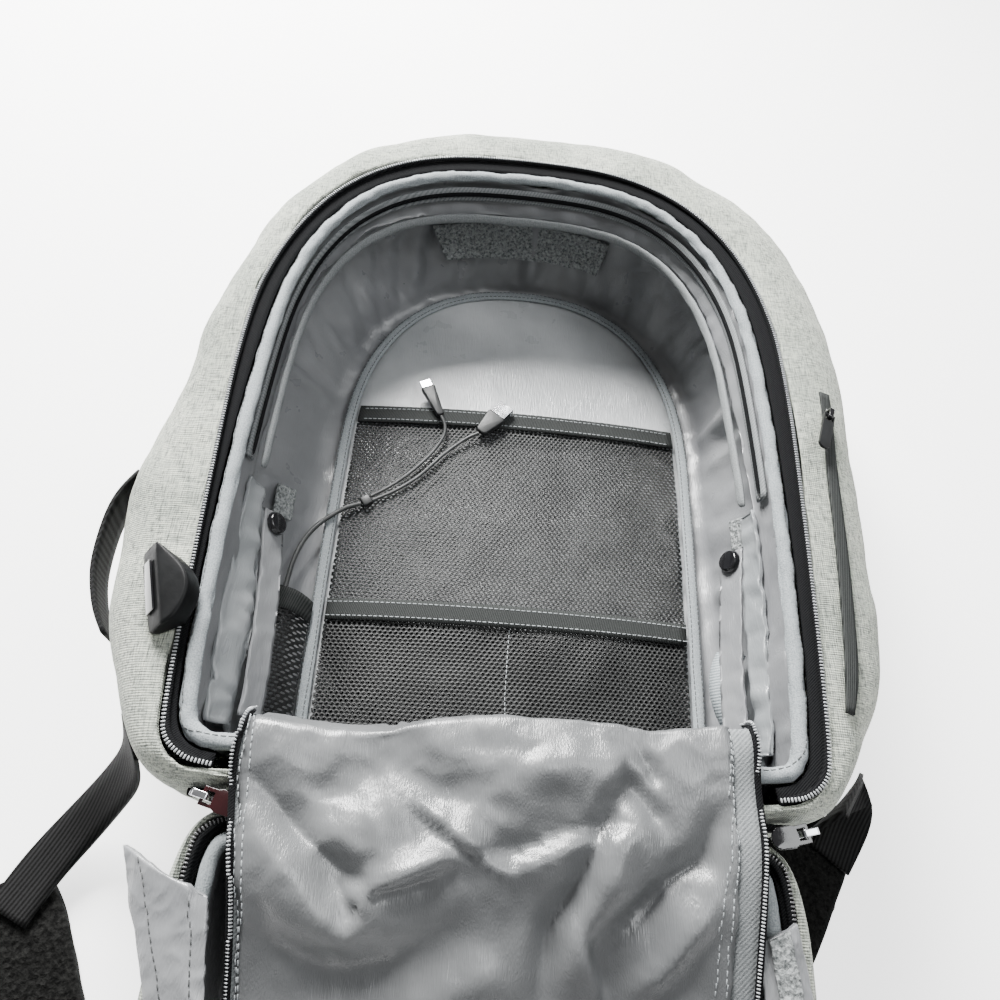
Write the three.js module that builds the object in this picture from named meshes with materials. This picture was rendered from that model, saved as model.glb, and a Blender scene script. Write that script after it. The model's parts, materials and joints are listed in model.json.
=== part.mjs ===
// A clamshell backpack that lies open on its front: the deep shell with its rim up, and the back half (the lid)
// folded over at the bottom end, sloping down onto the shoulder straps. Millimetres, +Z up. While the pieces are
// built, x = 0 is the rim's middle, y = 0 the bottom end of the rim, +Y runs to the bag's top and z = 0 is the
// surface it lies on. At the end the group is moved so that its origin is the middle of the base.
import * as THREE from "three";

// Cloth, tape and gaps
const gap = 0.3;
const clothWall = 3;
const liningWall = 1.5;
const satinWall = 1.5;
const meshWall = 1;
const webbingWall = 2;
const webbingWidth = 25;
const coilWidth = 4;
const coilHeight = 2.6;
const tapeThickness = 1.2;

// The rim of the shell
const rimHalfWidth = 164;
const rimLength = 435;
const rimArchStart = 230;
const rimArchPower = 2.7;
const rimCorner = 28;
const rimTaper = 7;
const baseBow = 0.8;
const shellDepth = 135;
const shellBulge = 55;
const shellRound = 14;
const tapeWidth = 13;
const bindingWidth = 10;
const bindingHeight = 7;
const collarReach = 32;
const collarDepth = 27;
const innerZipWidth = 9;
const pipingWidth = 8;
const floorHeight = 22;
const wallBelly = 30;

// The floor panel and its mesh pockets
const panelHalfWidth = 130;
const panelLength = 400;
const panelStart = 12;
const panelShift = 8;
const panelArchStart = 238;
const panelArchPower = 2.3;
const panelCorner = 18;
const panelThickness = 3;
const panelBindingHeight = 4;
const upperHemPlace = 269;
const lowerHemPlace = 115;
const hemHeight = 14;
const hemThickness = 1.4;
const meshBelly = 7;
const lowerMeshBelly = 6;

// Side pieces on the shell's walls
const loopPatchWidth = 148;
const patchThickness = 1.5;
const sidePocketPuff = 17;
const sidePocketTop = 165;
const sidePocketBottom = 24;
const snapRadius = 7.5;
const snapHeight = 3.2;
const snapStrapWidth = 16;
const snapPlace = 143;
const elasticWidth = 20;
const elasticLength = 38;
const elasticStart = 58;
const elasticLift = 6;

// The outside of the shell
const weltWidth = 7;
const weltTop = 245;
const weltBottom = 48;
const sideSliderPlace = 224;
const sideSliderRow = 1.05;
const sidePullLength = 27;
const portLength = 44;
const portWidth = 15;
const portHeight = 12.5;
const portSlope = 11;
const portPlace = 85;
const portLean = 0.21;
const handleTop = 168;
const handleLength = 95;
const handleLift = 9;

// Zip sliders and pulls
const sliderLength = 12;
const sliderBody = 3.4;
const bridgeWall = 1.2;
const bridgeWidth = 3;
const bridgeGap = 3;
const pullThickness = 1.6;
const paddleLength = 17;
const paddleWidth = 10;

// The lid, in its own frame: +Y from the hinge to its top end, z = 0 its rim
const lidHalfWidth = 144;
const lidLength = 425;
const lidArchStart = 225;
const lidTaper = 5;
const lidCorner = 24;
const lidDepth = 42;
const lidBulge = 6;
const lidHingeHeight = shellDepth - 8;
const lidSlope = 9.4;
const lidOffset = 8;
const backPadThickness = 9;

// The divider flap
const flapHalfWidth = 104;
const flapReach = 395;
const flapThickness = 2;
const flapTapeWidth = 13;
const crestHeight = shellDepth + 11;
const flapShift = -5;

// Straps
const strapWidth = 58;
const strapThickness = 11;

// How many points an outline has on half its base, a corner, a side and half its arch
const rimSteps = { base: 3, corner: 3, side: 5, arch: 11 };
const plainSteps = { base: 2, corner: 2, side: 3, arch: 8 };

const materials = {
  heather: { color: 0xb9bdb6, roughness: 0.95 },
  satin: { color: 0x9a9ea0, roughness: 0.45 },
  satinDark: { color: 0x77797c, roughness: 0.5 },
  binding: { color: 0xa9b3b8, roughness: 0.85 },
  tape: { color: 0x2b2d2d, roughness: 0.9 },
  greyTape: { color: 0x6d7376, roughness: 0.85 },
  coil: { color: 0x1c1e1f, roughness: 0.35 },
  mesh: { color: 0x3b3d3c, roughness: 0.9 },
  hem: { color: 0x4d504e, roughness: 0.9 },
  loop: { color: 0x8d9092, roughness: 1 },
  webbing: { color: 0x202121, roughness: 0.9 },
  elastic: { color: 0x9aa3a8, roughness: 0.85 },
  plastic: { color: 0x2a2c2c, roughness: 0.5 },
  gloss: { color: 0x0c0d0e, roughness: 0.15 },
  red: { color: 0x4a0f14, roughness: 0.3 },
  cable: { color: 0x6e7272, roughness: 0.5 },
  metal: { color: 0xd8dade, roughness: 0.25, metalness: 1 },
  airMesh: { color: 0x161716, roughness: 1 },
};

const bag = new THREE.Group();

// Closed meshes from sections

// A closed body from a row of closed polygons with equally many corners. An open row gets a flat end at each side.
function loft(sections, looped = false) {
  const count = sections[0].length;
  const corners = sections.flat();
  const faces = [];
  const last = looped ? sections.length : sections.length - 1;
  for (let s = 0; s < last; s++) {
    const here = s * count;
    const next = ((s + 1) % sections.length) * count;
    for (let j = 0; j < count; j++) {
      const k = (j + 1) % count;
      faces.push([here + j, here + k, next + k], [here + j, next + k, next + j]);
    }
  }
  if (!looped) {
    const end = (sections.length - 1) * count;
    for (let low = 0, high = count - 1; high - low > 1; low++, high--) {
      faces.push([low + 1, low, high], [end + low, end + low + 1, end + high]);
      if (high - low > 2) {
        faces.push([high - 1, low + 1, high], [end + low + 1, end + high - 1, end + high]);
      }
    }
  }
  return closedGeometry(corners, faces);
}

function closedGeometry(corners, faces) {
  let volume = 0;
  for (const [a, b, c] of faces) {
    volume += corners[a].dot(new THREE.Vector3().crossVectors(corners[b], corners[c]));
  }
  const turned = volume < 0 ? faces.map(([a, b, c]) => [a, c, b]) : faces;
  const geometry = new THREE.BufferGeometry().setFromPoints(corners);
  geometry.setIndex(turned.flat());
  geometry.computeVertexNormals();
  return geometry;
}

// The normals of a grid of points, its columns across and its rows along. A wrapped grid closes across.
function gridNormals(grid, wrapped = false) {
  const rows = grid.length;
  const columns = grid[0].length;
  return grid.map((row, r) =>
    row.map((_, c) => {
      const left = wrapped ? (c + columns - 1) % columns : Math.max(c - 1, 0);
      const right = wrapped ? (c + 1) % columns : Math.min(c + 1, columns - 1);
      const across = row[right].clone().sub(row[left]);
      const along = grid[Math.min(r + 1, rows - 1)][c].clone().sub(grid[Math.max(r - 1, 0)][c]);
      return across.cross(along).normalize();
    }),
  );
}

// A sheet of cloth from the grid of its front face. The wall is added behind it, away from the side it faces.
function sheet(grid, wall, facing) {
  const normals = gridNormals(grid);
  const sign = normals.flat().reduce((sum, normal) => sum + normal.dot(facing), 0) < 0 ? 1 : -1;
  return loft(
    grid.map((row, r) => [
      ...row,
      ...row.map((point, c) => point.clone().addScaledVector(normals[r][c], sign * wall)).reverse(),
    ]),
  );
}

// A bowl from the rings of its front face, rim first and floor last. A wall below zero goes inwards.
function bowl(rings, wall) {
  const normals = gridNormals(rings, true);
  const floor = rings.length - 1;
  const back = rings.map((ring, k) =>
    ring.map((point, c) => {
      const inward = normals[k][c];
      if (k < floor) return point.clone().addScaledVector(inward, -wall);
      const flat = new THREE.Vector3(inward.x, inward.y, 0).normalize();
      return point.clone().addScaledVector(flat, -wall * 0.5).add(new THREE.Vector3(0, 0, -wall));
    }),
  );
  return loft([...[...rings].reverse(), ...back]);
}

function add(name, geometry, look, parent = bag) {
  const mesh = new THREE.Mesh(geometry, new THREE.MeshStandardMaterial(materials[look]));
  mesh.name = name;
  parent.add(mesh);
  return mesh;
}

// Outlines

// The outline of a bag half, counterclockwise from the middle of its base. Its station is 1.2 at the middle of the
// base, 1 where the right side starts, 0.5 where the arch starts and 0 at the top, and negative on the left.
function archOutline(sizes, steps) {
  const { halfWidth, length, archStart, power, corner, taper, shift = 0, start = 0 } = sizes;
  const flat = halfWidth - taper - corner;
  const half = [];
  for (let i = 0; i < steps.base; i++) {
    const share = i / steps.base;
    half.push({ x: flat * share, y: -baseBow * (1 - share ** 2), station: 1.2 - 0.1 * share });
  }
  for (let i = 0; i < steps.corner; i++) {
    const turn = ((i / steps.corner) * Math.PI) / 2;
    const x = flat + corner * Math.sin(turn);
    half.push({ x, y: corner * (1 - Math.cos(turn)), station: 1.1 - (0.1 * i) / steps.corner });
  }
  for (let i = 0; i < steps.side; i++) {
    const share = i / steps.side;
    const x = halfWidth - taper * (1 - share) ** 2;
    half.push({ x, y: corner + (archStart - corner) * share, station: 1 - 0.5 * share });
  }
  for (let i = 0; i <= steps.arch; i++) {
    const turn = ((i / steps.arch) * Math.PI) / 2;
    const x = i === steps.arch ? 0 : halfWidth * Math.cos(turn) ** (2 / power);
    const y = archStart + (length - archStart) * Math.sin(turn) ** (2 / power);
    half.push({ x, y, station: 0.5 * (1 - i / steps.arch) });
  }
  const mirrored = half.slice(1, -1).reverse();
  const points = [...half, ...mirrored.map(({ x, y, station }) => ({ x: -x, y, station: -station }))];
  return points.map(({ x, y, station }, i) => {
    const before = points[(i + points.length - 1) % points.length];
    const after = points[(i + 1) % points.length];
    const along = new THREE.Vector2(after.x - before.x, after.y - before.y).normalize();
    return { x: x + shift, y: y + start, nx: along.y, ny: -along.x, station };
  });
}

// Half the width of such an outline at one y
function archHalfWidth({ halfWidth, length, archStart, power, taper, start = 0 }, y) {
  const up = y - start;
  if (up <= archStart) return halfWidth - taper * (1 - up / archStart) ** 2;
  const share = Math.min((up - archStart) / (length - archStart), 0.999);
  return halfWidth * (1 - share ** power) ** (1 / power);
}

const countOf = ({ base, corner, side, arch }) => 2 * (base + corner + side + arch);
const rimCount = countOf(rimSteps);
const topIndex = rimCount / 2;
const sideStart = rimSteps.base + rimSteps.corner;

const rimSizes = {
  halfWidth: rimHalfWidth,
  length: rimLength,
  archStart: rimArchStart,
  power: rimArchPower,
  corner: rimCorner,
  taper: rimTaper,
};
const evenRim = archOutline(rimSizes, rimSteps);

// How the section changes round the rim: shares of the shell's bulge, the zip tape's width and the collar's reach,
// and how far the slack zip stands out, as a share of the tape's width
const stations = [
  { at: -1.2, bulge: 0.04, tape: 0.9, collar: 0.62, slack: 0 },
  { at: -1.1, bulge: 0.04, tape: 0.8, collar: 0.55, slack: 0 },
  { at: -1, bulge: 0.42, tape: 0.45, collar: 0.5, slack: 0 },
  { at: -0.9, bulge: 0.8, tape: 0.38, collar: 0.5, slack: 0.05 },
  { at: -0.74, bulge: 1, tape: 0.36, collar: 0.5, slack: 0.12 },
  { at: -0.56, bulge: 0.78, tape: 0.42, collar: 0.5, slack: 0.3 },
  { at: -0.46, bulge: 0.68, tape: 0.5, collar: 0.52, slack: 0.42 },
  { at: -0.34, bulge: 0.63, tape: 0.75, collar: 0.66, slack: 0.12 },
  { at: -0.2, bulge: 0.76, tape: 0.95, collar: 0.88, slack: 0 },
  { at: -0.1, bulge: 0.9, tape: 1, collar: 0.98, slack: 0 },
  { at: 0, bulge: 0.98, tape: 1, collar: 1, slack: 0 },
  { at: 0.12, bulge: 1.16, tape: 1, collar: 1, slack: 0 },
  { at: 0.24, bulge: 1.14, tape: 0.95, collar: 0.95, slack: 0.02 },
  { at: 0.34, bulge: 1.04, tape: 0.85, collar: 0.88, slack: 0.1 },
  { at: 0.45, bulge: 0.98, tape: 0.7, collar: 0.78, slack: 0.26 },
  { at: 0.56, bulge: 0.82, tape: 0.62, collar: 0.7, slack: 0.2 },
  { at: 0.74, bulge: 0.86, tape: 0.6, collar: 0.62, slack: 0.1 },
  { at: 0.9, bulge: 0.84, tape: 0.6, collar: 0.62, slack: 0.08 },
  { at: 1, bulge: 0.46, tape: 0.7, collar: 0.62, slack: 0.05 },
  { at: 1.1, bulge: 0.04, tape: 0.85, collar: 0.62, slack: 0 },
  { at: 1.2, bulge: 0.04, tape: 0.9, collar: 0.62, slack: 0 },
];

// A column's value between the rows of a table
function valueAt(table, key, column, place) {
  const next = table.findIndex((row) => row[key] >= place);
  if (next <= 0) return table[next < 0 ? table.length - 1 : 0][column];
  const before = table[next - 1];
  const share = (place - before[key]) / (table[next][key] - before[key]);
  return THREE.MathUtils.lerp(before[column], table[next][column], share);
}

// The wall's rows from the rim to the floor: how far out as a share of the bulge, how far tucked in under it, and
// the height, both where the wall bulges and where it stands upright
const shellProfile = [
  { out: 0, tuck: 0, up: 1, upright: 1 },
  { out: 0.36, tuck: 0, up: 0.993, upright: 0.9 },
  { out: 0.7, tuck: 0, up: 0.95, upright: 0.8 },
  { out: 0.94, tuck: 0, up: 0.85, upright: 0.68 },
  { out: 1.02, tuck: 0, up: 0.66, upright: 0.52 },
  { out: 0.97, tuck: 0.05, up: 0.3, upright: 0.28 },
  { out: 0.76, tuck: 0.35, up: 0.06, upright: 0.06 },
  { out: 0.45, tuck: 1, up: 0, upright: 0 },
];

// The rim's outline with the slack of its zip
const slackOf = (station) => tapeWidth * valueAt(stations, "at", "slack", station);
const rim = evenRim.map(({ x, y, nx, ny, station }) => {
  const slack = slackOf(station);
  return { x: x + nx * slack, y: y + ny * slack, nx, ny, station };
});

// Where the shell hardly bulges its wall stands upright, and the tape starts inside its lip
const section = rim.map(({ station }) => {
  const slack = slackOf(station);
  const bulge = shellBulge * valueAt(stations, "at", "bulge", station) - slack;
  const upright = Math.max(0, 1 - bulge / (4 * clothWall));
  const [, second] = shellProfile;
  const drop = (1 - THREE.MathUtils.lerp(second.up, second.upright, upright)) * shellDepth;
  const lip = (clothWall * drop) / Math.hypot(drop, second.out * bulge);
  return {
    bulge,
    upright,
    lip,
    tape: Math.max(tapeWidth * valueAt(stations, "at", "tape", station), coilWidth + lip + 0.6) + slack,
    collar: collarReach * valueAt(stations, "at", "collar", station) + slack,
  };
});

// A point of the rim moved outwards, at a height
function fromRim(i, out, z) {
  const { x, y, nx, ny } = rim[i % rimCount];
  return new THREE.Vector3(x + nx * out, y + ny * out, z);
}

const rimRing = (outAndHeight) =>
  rim.map((_, i) => {
    const [out, z] = outAndHeight(section[i]);
    return fromRim(i, out, z);
  });

// A strip along the rim from one point to another, with a polygon of out and height pairs as its section
function rimStrip(from, to, polygon) {
  const sections = [];
  for (let i = from; i <= to; i++) {
    sections.push(polygon(section[i % rimCount]).map(([out, z]) => fromRim(i, out, z)));
  }
  return loft(sections);
}

const rimLoop = (polygon) =>
  loft(
    rim.map((_, i) => polygon(section[i]).map(([out, z]) => fromRim(i, out, z))),
    true,
  );

// A roll as a section of five corners, between two outs
const roll = (inner, outer, low, high) => [
  [inner, low + (high - low) * 0.35],
  [inner + (outer - inner) * 0.27, high],
  [outer - (outer - inner) * 0.27, high],
  [outer, low + (high - low) * 0.35],
  [inner + (outer - inner) * 0.5, low],
];

const up = new THREE.Vector3(0, 0, 1);

// Shell and rim

const shellRings = shellProfile.map((row) =>
  rimRing(({ bulge, upright }) => [
    row.out * bulge - row.tuck * shellRound,
    THREE.MathUtils.lerp(row.up, row.upright, upright) * shellDepth,
  ]),
);
add("outer_shell", bowl(shellRings, -clothWall), "heather");

// The zip's tape lies inside the shell's rim, with the coil on its outer edge. Across the base the zip is closed.
const tapeTop = shellDepth - 0.6;
const tapeLow = tapeTop - tapeThickness;
const tapeSection = ({ tape, lip }) => [
  [-gap - lip, tapeTop],
  [-gap - lip, tapeLow],
  [-tape, tapeLow - 1],
  [-tape, tapeTop - 1],
];
const coilBox = (outer, low, high) => [
  [outer, low],
  [outer - coilWidth * 0.2, high],
  [outer - coilWidth * 0.8, high],
  [outer - coilWidth, low],
];
const coilSection = ({ lip }) => coilBox(-gap - lip, tapeTop + gap, tapeTop + coilHeight);
add("main_zip_tape", rimStrip(rimSteps.base, rimCount - rimSteps.base, tapeSection), "tape");
add("main_zip_coil", rimStrip(rimSteps.base, rimCount - rimSteps.base, coilSection), "coil");

const bindingTop = tapeTop + 2.2;
const bindingLow = bindingTop - bindingHeight;
add(
  "rim_binding",
  rimLoop(({ tape }) => roll(-tape - gap - bindingWidth, -tape - gap, bindingLow, bindingTop)),
  "binding",
);

// Lining: from under the binding, over the collar and down a bellied wall to the floor

const collarHeight = shellDepth - collarDepth;
const floorSizes = {
  halfWidth: panelHalfWidth + 7,
  length: panelLength + 12,
  archStart: panelArchStart + 6,
  power: panelArchPower,
  corner: panelCorner + 6,
  taper: 0,
  shift: panelShift,
  start: panelStart - 6,
};
const floorOutline = archOutline(floorSizes, rimSteps);
const wallRows = [
  { drop: 0.1, blend: 0, belly: 0.8 },
  { drop: 0.32, blend: 0.12, belly: 1 },
  { drop: 0.66, blend: 0.58, belly: 0.4 },
  { drop: 1, blend: 1, belly: 0 },
];

// Gathers of the lining's wall, at stations of the rim, as shares of the belly
const gathers = [
  { at: -0.4, width: 0.035, depth: 0.34 },
  { at: -0.3, width: 0.03, depth: -0.3 },
  { at: -0.19, width: 0.03, depth: 0.36 },
  { at: 0.15, width: 0.03, depth: 0.3 },
  { at: 0.27, width: 0.035, depth: -0.34 },
  { at: 0.39, width: 0.03, depth: 0.36 },
];
const gatherAt = (station) =>
  gathers.reduce((sum, { at, width, depth }) => sum + depth * Math.exp(-(((station - at) / width) ** 2)), 0);

function bellyShare(station) {
  const side = Math.abs(station);
  if (side > 1) return THREE.MathUtils.lerp(0.3, 0.14, Math.min((side - 1) * 10, 1));
  if (side > 0.5) return THREE.MathUtils.lerp(0.62, 0.3, (side - 0.5) * 2);
  return THREE.MathUtils.lerp(1, 0.62, side * 2);
}

const liningRings = [
  rimRing(({ tape }) => [-tape - gap - bindingWidth * 0.62, bindingLow - 0.8]),
  rimRing(({ tape, collar }) => [-Math.max(collar, tape + bindingWidth), collarHeight]),
  ...wallRows.map((row) =>
    rim.map(({ station, nx, ny }, i) => {
      const { tape, collar } = section[i];
      const start = fromRim(i, -Math.max(collar, tape + bindingWidth), collarHeight);
      const belly = wallBelly * row.belly * (bellyShare(station) - 0.4 * gatherAt(station));
      const end = new THREE.Vector3(floorOutline[i].x, floorOutline[i].y, floorHeight);
      return start
        .lerp(end, row.blend)
        .add(new THREE.Vector3(nx * belly, ny * belly, 0))
        .setZ(THREE.MathUtils.lerp(collarHeight, floorHeight, row.drop));
    }),
  ),
];
add("tray_lining", bowl(liningRings, liningWall), "satinDark");

// A point on the lining, lifted off it: index round the rim, then ring from 0 at the binding to 5 at the floor
function onLining(index, ring, lift) {
  const pick = (i, k) => liningRings[k][(i + rimCount) % rimCount];
  const at = (u, v) => {
    const i = Math.floor(u);
    const k = Math.min(Math.floor(v), liningRings.length - 2);
    const low = pick(i, k).clone().lerp(pick(i + 1, k), u - i);
    const high = pick(i, k + 1).clone().lerp(pick(i + 1, k + 1), u - i);
    return low.lerp(high, v - k);
  };
  const step = 0.5;
  const across = at(index + step, ring).sub(at(index - step, ring));
  const low = Math.max(ring - step, 0);
  const high = Math.min(ring + step, liningRings.length - 1);
  const along = at(index, high).sub(at(index, low));
  return at(index, ring).addScaledVector(across.cross(along).normalize(), lift);
}

// The index round the rim of a y on its straight side
function sideIndex(y, side) {
  const share = THREE.MathUtils.clamp((y - rimCorner) / (rimArchStart - rimCorner), -0.12, 1);
  const index = sideStart + rimSteps.side * share;
  return side > 0 ? index : rimCount - index;
}

// The collar's zip and piping run over the arch and end just above the side pockets
const innerZipStart = sideIndex(sidePocketTop + 7, 1);
const innerZipPlaces = [innerZipStart];
for (let i = Math.floor(innerZipStart) + 1; i < rimCount - innerZipStart; i++) innerZipPlaces.push(i);
innerZipPlaces.push(rimCount - innerZipStart);
function collarStrip(lowShare, highShare, lowLift, highLift) {
  return loft(
    innerZipPlaces.map((index) => {
      const low = (lift) => onLining(index, lowShare, lift);
      const high = (lift) => onLining(index, highShare, lift);
      return [low(lowLift), high(lowLift), high(highLift), low(highLift)];
    }),
  );
}
const collarSlant = Math.hypot(collarReach - tapeWidth - bindingWidth * 0.62, bindingLow - 0.8 - collarHeight);
const zipShare = innerZipWidth / collarSlant;
add("inner_zip_tape", collarStrip(0.12, 0.12 + zipShare, 0.5, 0.5 + tapeThickness), "greyTape");
const innerCoilLift = 0.5 + tapeThickness + gap;
add(
  "inner_zip_coil",
  collarStrip(0.12 + zipShare * 0.34, 0.12 + zipShare * 0.7, innerCoilLift, innerCoilLift + coilHeight * 0.7),
  "coil",
);
{
  const low = collarHeight - pipingWidth * 0.25;
  const piping = (i) => {
    const { collar, tape } = section[i % rimCount];
    const seat = Math.max(collar, tape + bindingWidth) + gap;
    return roll(-seat - pipingWidth * 0.75, -seat - 0.2, low, low + pipingWidth).map(([out, z]) =>
      fromRim(i, out, z),
    );
  };
  const between = (index) => {
    const next = piping(Math.floor(index) + 1);
    return piping(Math.floor(index)).map((corner, k) => corner.lerp(next[k], index % 1));
  };
  add("inner_piping", loft(innerZipPlaces.map(between)), "binding");
}

// Floor panel with its binding and mesh pockets

const panelSizes = {
  halfWidth: panelHalfWidth,
  length: panelLength,
  archStart: panelArchStart,
  power: panelArchPower,
  corner: panelCorner,
  taper: 4,
  shift: panelShift,
  start: panelStart,
};
const panelOutline = archOutline(panelSizes, plainSteps);
const panelLow = floorHeight + gap;
const panelTop = panelLow + panelThickness;
const panelRing = (out, z) =>
  panelOutline.map(({ x, y, nx, ny }) => new THREE.Vector3(x + nx * out, y + ny * out, z));
add("pocket_panel", loft([panelRing(-0.5, panelLow), panelRing(-0.5, panelTop)]), "satin");
add(
  "panel_binding",
  loft(
    panelOutline.map(({ x, y, nx, ny }) =>
      roll(-bindingWidth, 0, panelTop + gap, panelTop + gap + panelBindingHeight).map(
        ([out, z]) => new THREE.Vector3(x + nx * out, y + ny * out, z),
      ),
    ),
    true,
  ),
  "binding",
);

// The slack of a mesh pocket falls off to its sides and to its bottom
const meshColumns = 10;
function meshHeight(xShare, yShare, belly) {
  return belly * Math.cos((xShare * Math.PI) / 2) ** 0.8 * Math.max(yShare, 0) ** 0.7;
}
const pocketBottom = panelStart + bindingWidth + panelCorner * 0.4;
function pocketGrid(from, to, rows, height) {
  const grid = [];
  for (let r = 0; r <= rows; r++) {
    const y = THREE.MathUtils.lerp(to, from, r / rows);
    const half = archHalfWidth(panelSizes, y) - bindingWidth - 1.5;
    const row = [];
    for (let c = 0; c <= meshColumns; c++) {
      const share = (2 * c) / meshColumns - 1;
      row.push(new THREE.Vector3(panelShift + share * half, y, height(share, y)));
    }
    grid.push(row);
  }
  return grid;
}
const upperTop = panelStart + upperHemPlace;
const lowerTop = panelStart + lowerHemPlace;
const meshBase = panelTop + gap + meshWall;
const upperMesh = (share, y) =>
  meshBase + meshHeight(share, (y - pocketBottom) / (upperTop - pocketBottom), meshBelly);
const lowerMesh = (share, y) =>
  upperMesh(share, y) +
  meshWall +
  gap +
  0.5 +
  meshHeight(share, (y - pocketBottom) / (lowerTop - pocketBottom), lowerMeshBelly);
add("upper_mesh_pocket", sheet(pocketGrid(pocketBottom, upperTop, 6, upperMesh), meshWall, up), "mesh");
add("lower_mesh_pocket", sheet(pocketGrid(pocketBottom, lowerTop, 4, lowerMesh), meshWall, up), "mesh");
const hemOn = (height) => (share, y) => height(share, y) + gap + hemThickness + 0.2;
add(
  "upper_mesh_hem",
  sheet(pocketGrid(upperTop - hemHeight, upperTop, 1, hemOn(upperMesh)), hemThickness, up),
  "hem",
);
add(
  "lower_mesh_hem",
  sheet(pocketGrid(lowerTop - hemHeight, lowerTop, 1, hemOn(lowerMesh)), hemThickness, up),
  "hem",
);

// Pieces on the lining's walls

// A sheet on the lining between two indices and two rings, with a lift worked out from its two shares
function wallSheet({ from, to, columns, top, bottom, rows, wall, lift }) {
  const grid = [];
  for (let r = 0; r <= rows; r++) {
    const row = [];
    for (let c = 0; c <= columns; c++) {
      const across = c / columns;
      const down = r / rows;
      const index = THREE.MathUtils.lerp(from, to, across);
      const ring = THREE.MathUtils.lerp(top, bottom, down);
      row.push(onLining(index, ring, gap + wall + lift(across, down)));
    }
    grid.push(row);
  }
  const middle = grid[Math.floor(rows / 2)][Math.floor(columns / 2)];
  const inward = new THREE.Vector3(-middle.x, rimLength / 2 - middle.y, 0).normalize();
  return sheet(grid, wall, inward);
}

const patchTurn = Math.acos((loopPatchWidth / 2 / rimHalfWidth) ** (rimArchPower / 2));
const patchSpan = rimSteps.arch * (1 - patchTurn / (Math.PI / 2));
add(
  "top_loop_patch",
  wallSheet({
    from: topIndex - patchSpan,
    to: topIndex + patchSpan,
    columns: 8,
    top: 3.05,
    bottom: 3.95,
    rows: 2,
    wall: patchThickness,
    lift: () => 0.5,
  }),
  "loop",
);

// The puffy satin pocket on the left wall, gathered at its top
const puff = (share) => Math.sin(Math.PI * THREE.MathUtils.clamp(share, 0, 1)) ** 0.6;
add(
  "left_side_pocket",
  wallSheet({
    from: sideIndex(sidePocketTop, -1),
    to: sideIndex(sidePocketBottom, -1),
    columns: 8,
    top: 0.75,
    bottom: 3.6,
    rows: 6,
    wall: satinWall,
    lift: (across, down) => 0.3 + sidePocketPuff * puff(down) * (0.62 + 0.38 * Math.sin(Math.PI * across)),
  }),
  "satin",
);
add(
  "right_side_pocket",
  wallSheet({
    from: sideIndex(sidePocketBottom, 1),
    to: sideIndex(sidePocketTop + 4, 1),
    columns: 8,
    top: 0.75,
    bottom: 3,
    rows: 5,
    wall: satinWall,
    lift: (across, down) => 1.2 + sidePocketPuff * 0.5 * puff(down) * (0.6 + 0.4 * Math.sin(Math.PI * across)),
  }),
  "satin",
);

// Loop patches beside the snaps
for (const side of [-1, 1]) {
  const ends = [sideIndex(sidePocketTop + 19, side), sideIndex(sidePocketTop - 2, side)];
  add(
    side < 0 ? "left_loop_patch" : "right_loop_patch",
    wallSheet({
      from: Math.min(...ends),
      to: Math.max(...ends),
      columns: 3,
      top: side < 0 ? 3.7 : 3.1,
      bottom: side < 0 ? 4.2 : 3.75,
      rows: 2,
      wall: patchThickness,
      lift: () => (side < 0 ? 0.5 : 0),
    }),
    "loop",
  );
}

// A band with square ends along a row of points, its width across and its wall down from its face
function band(points, width, wall, normalAt = () => up) {
  return loft(
    points.map((point, i) => {
      const ahead = points[Math.min(i + 1, points.length - 1)];
      const behind = points[Math.max(i - 1, 0)];
      const along = ahead.clone().sub(behind).normalize();
      const normal = normalAt(i, points.length).clone();
      const across = new THREE.Vector3().crossVectors(along, normal).normalize();
      const out = new THREE.Vector3().crossVectors(across, along).normalize();
      const corner = (a, b) => point.clone().addScaledVector(across, a).addScaledVector(out, b);
      const half = typeof width === "function" ? width(i / (points.length - 1)) / 2 : width / 2;
      return [corner(-half, 0), corner(half, 0), corner(half, -wall), corner(-half, -wall)];
    }),
  );
}

// Snap straps: a band down each side pocket, with a glossy snap cap near its top
for (const side of [-1, 1]) {
  const label = side < 0 ? "left" : "right";
  const inward = new THREE.Vector3(-side * 0.86, 0, 0.5).normalize();
  const reach = side < 0 ? sidePocketPuff - 5.6 : sidePocketPuff * 0.5;
  const points = [];
  const steps = 7;
  for (let i = 0; i <= steps; i++) {
    const y = THREE.MathUtils.lerp(snapPlace + 10, sidePocketBottom + 8, i / steps);
    const ring = side < 0 ? 2.6 : 2.1;
    const sag = Math.sin((Math.PI * i) / steps) * 3;
    points.push(onLining(sideIndex(y, side), ring, reach + satinWall + webbingWall + 7 + sag));
  }
  add(`${label}_snap_strap`, band(points, snapStrapWidth, webbingWall - 0.4, () => inward), "satin");
  const along = points[1].clone().sub(points[0]);
  const face = inward.clone().projectOnPlane(along.normalize()).normalize();
  const cap = new THREE.CylinderGeometry(snapRadius * 0.82, snapRadius, snapHeight, 14);
  const seat = points[0].clone().lerp(points[1], 0.45).addScaledVector(face, snapHeight / 2 + gap + 0.3);
  cap.applyQuaternion(new THREE.Quaternion().setFromUnitVectors(new THREE.Vector3(0, 1, 0), face));
  cap.translate(seat.x, seat.y, seat.z);
  add(`${label}_snap`, cap, "gloss");
}

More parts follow.
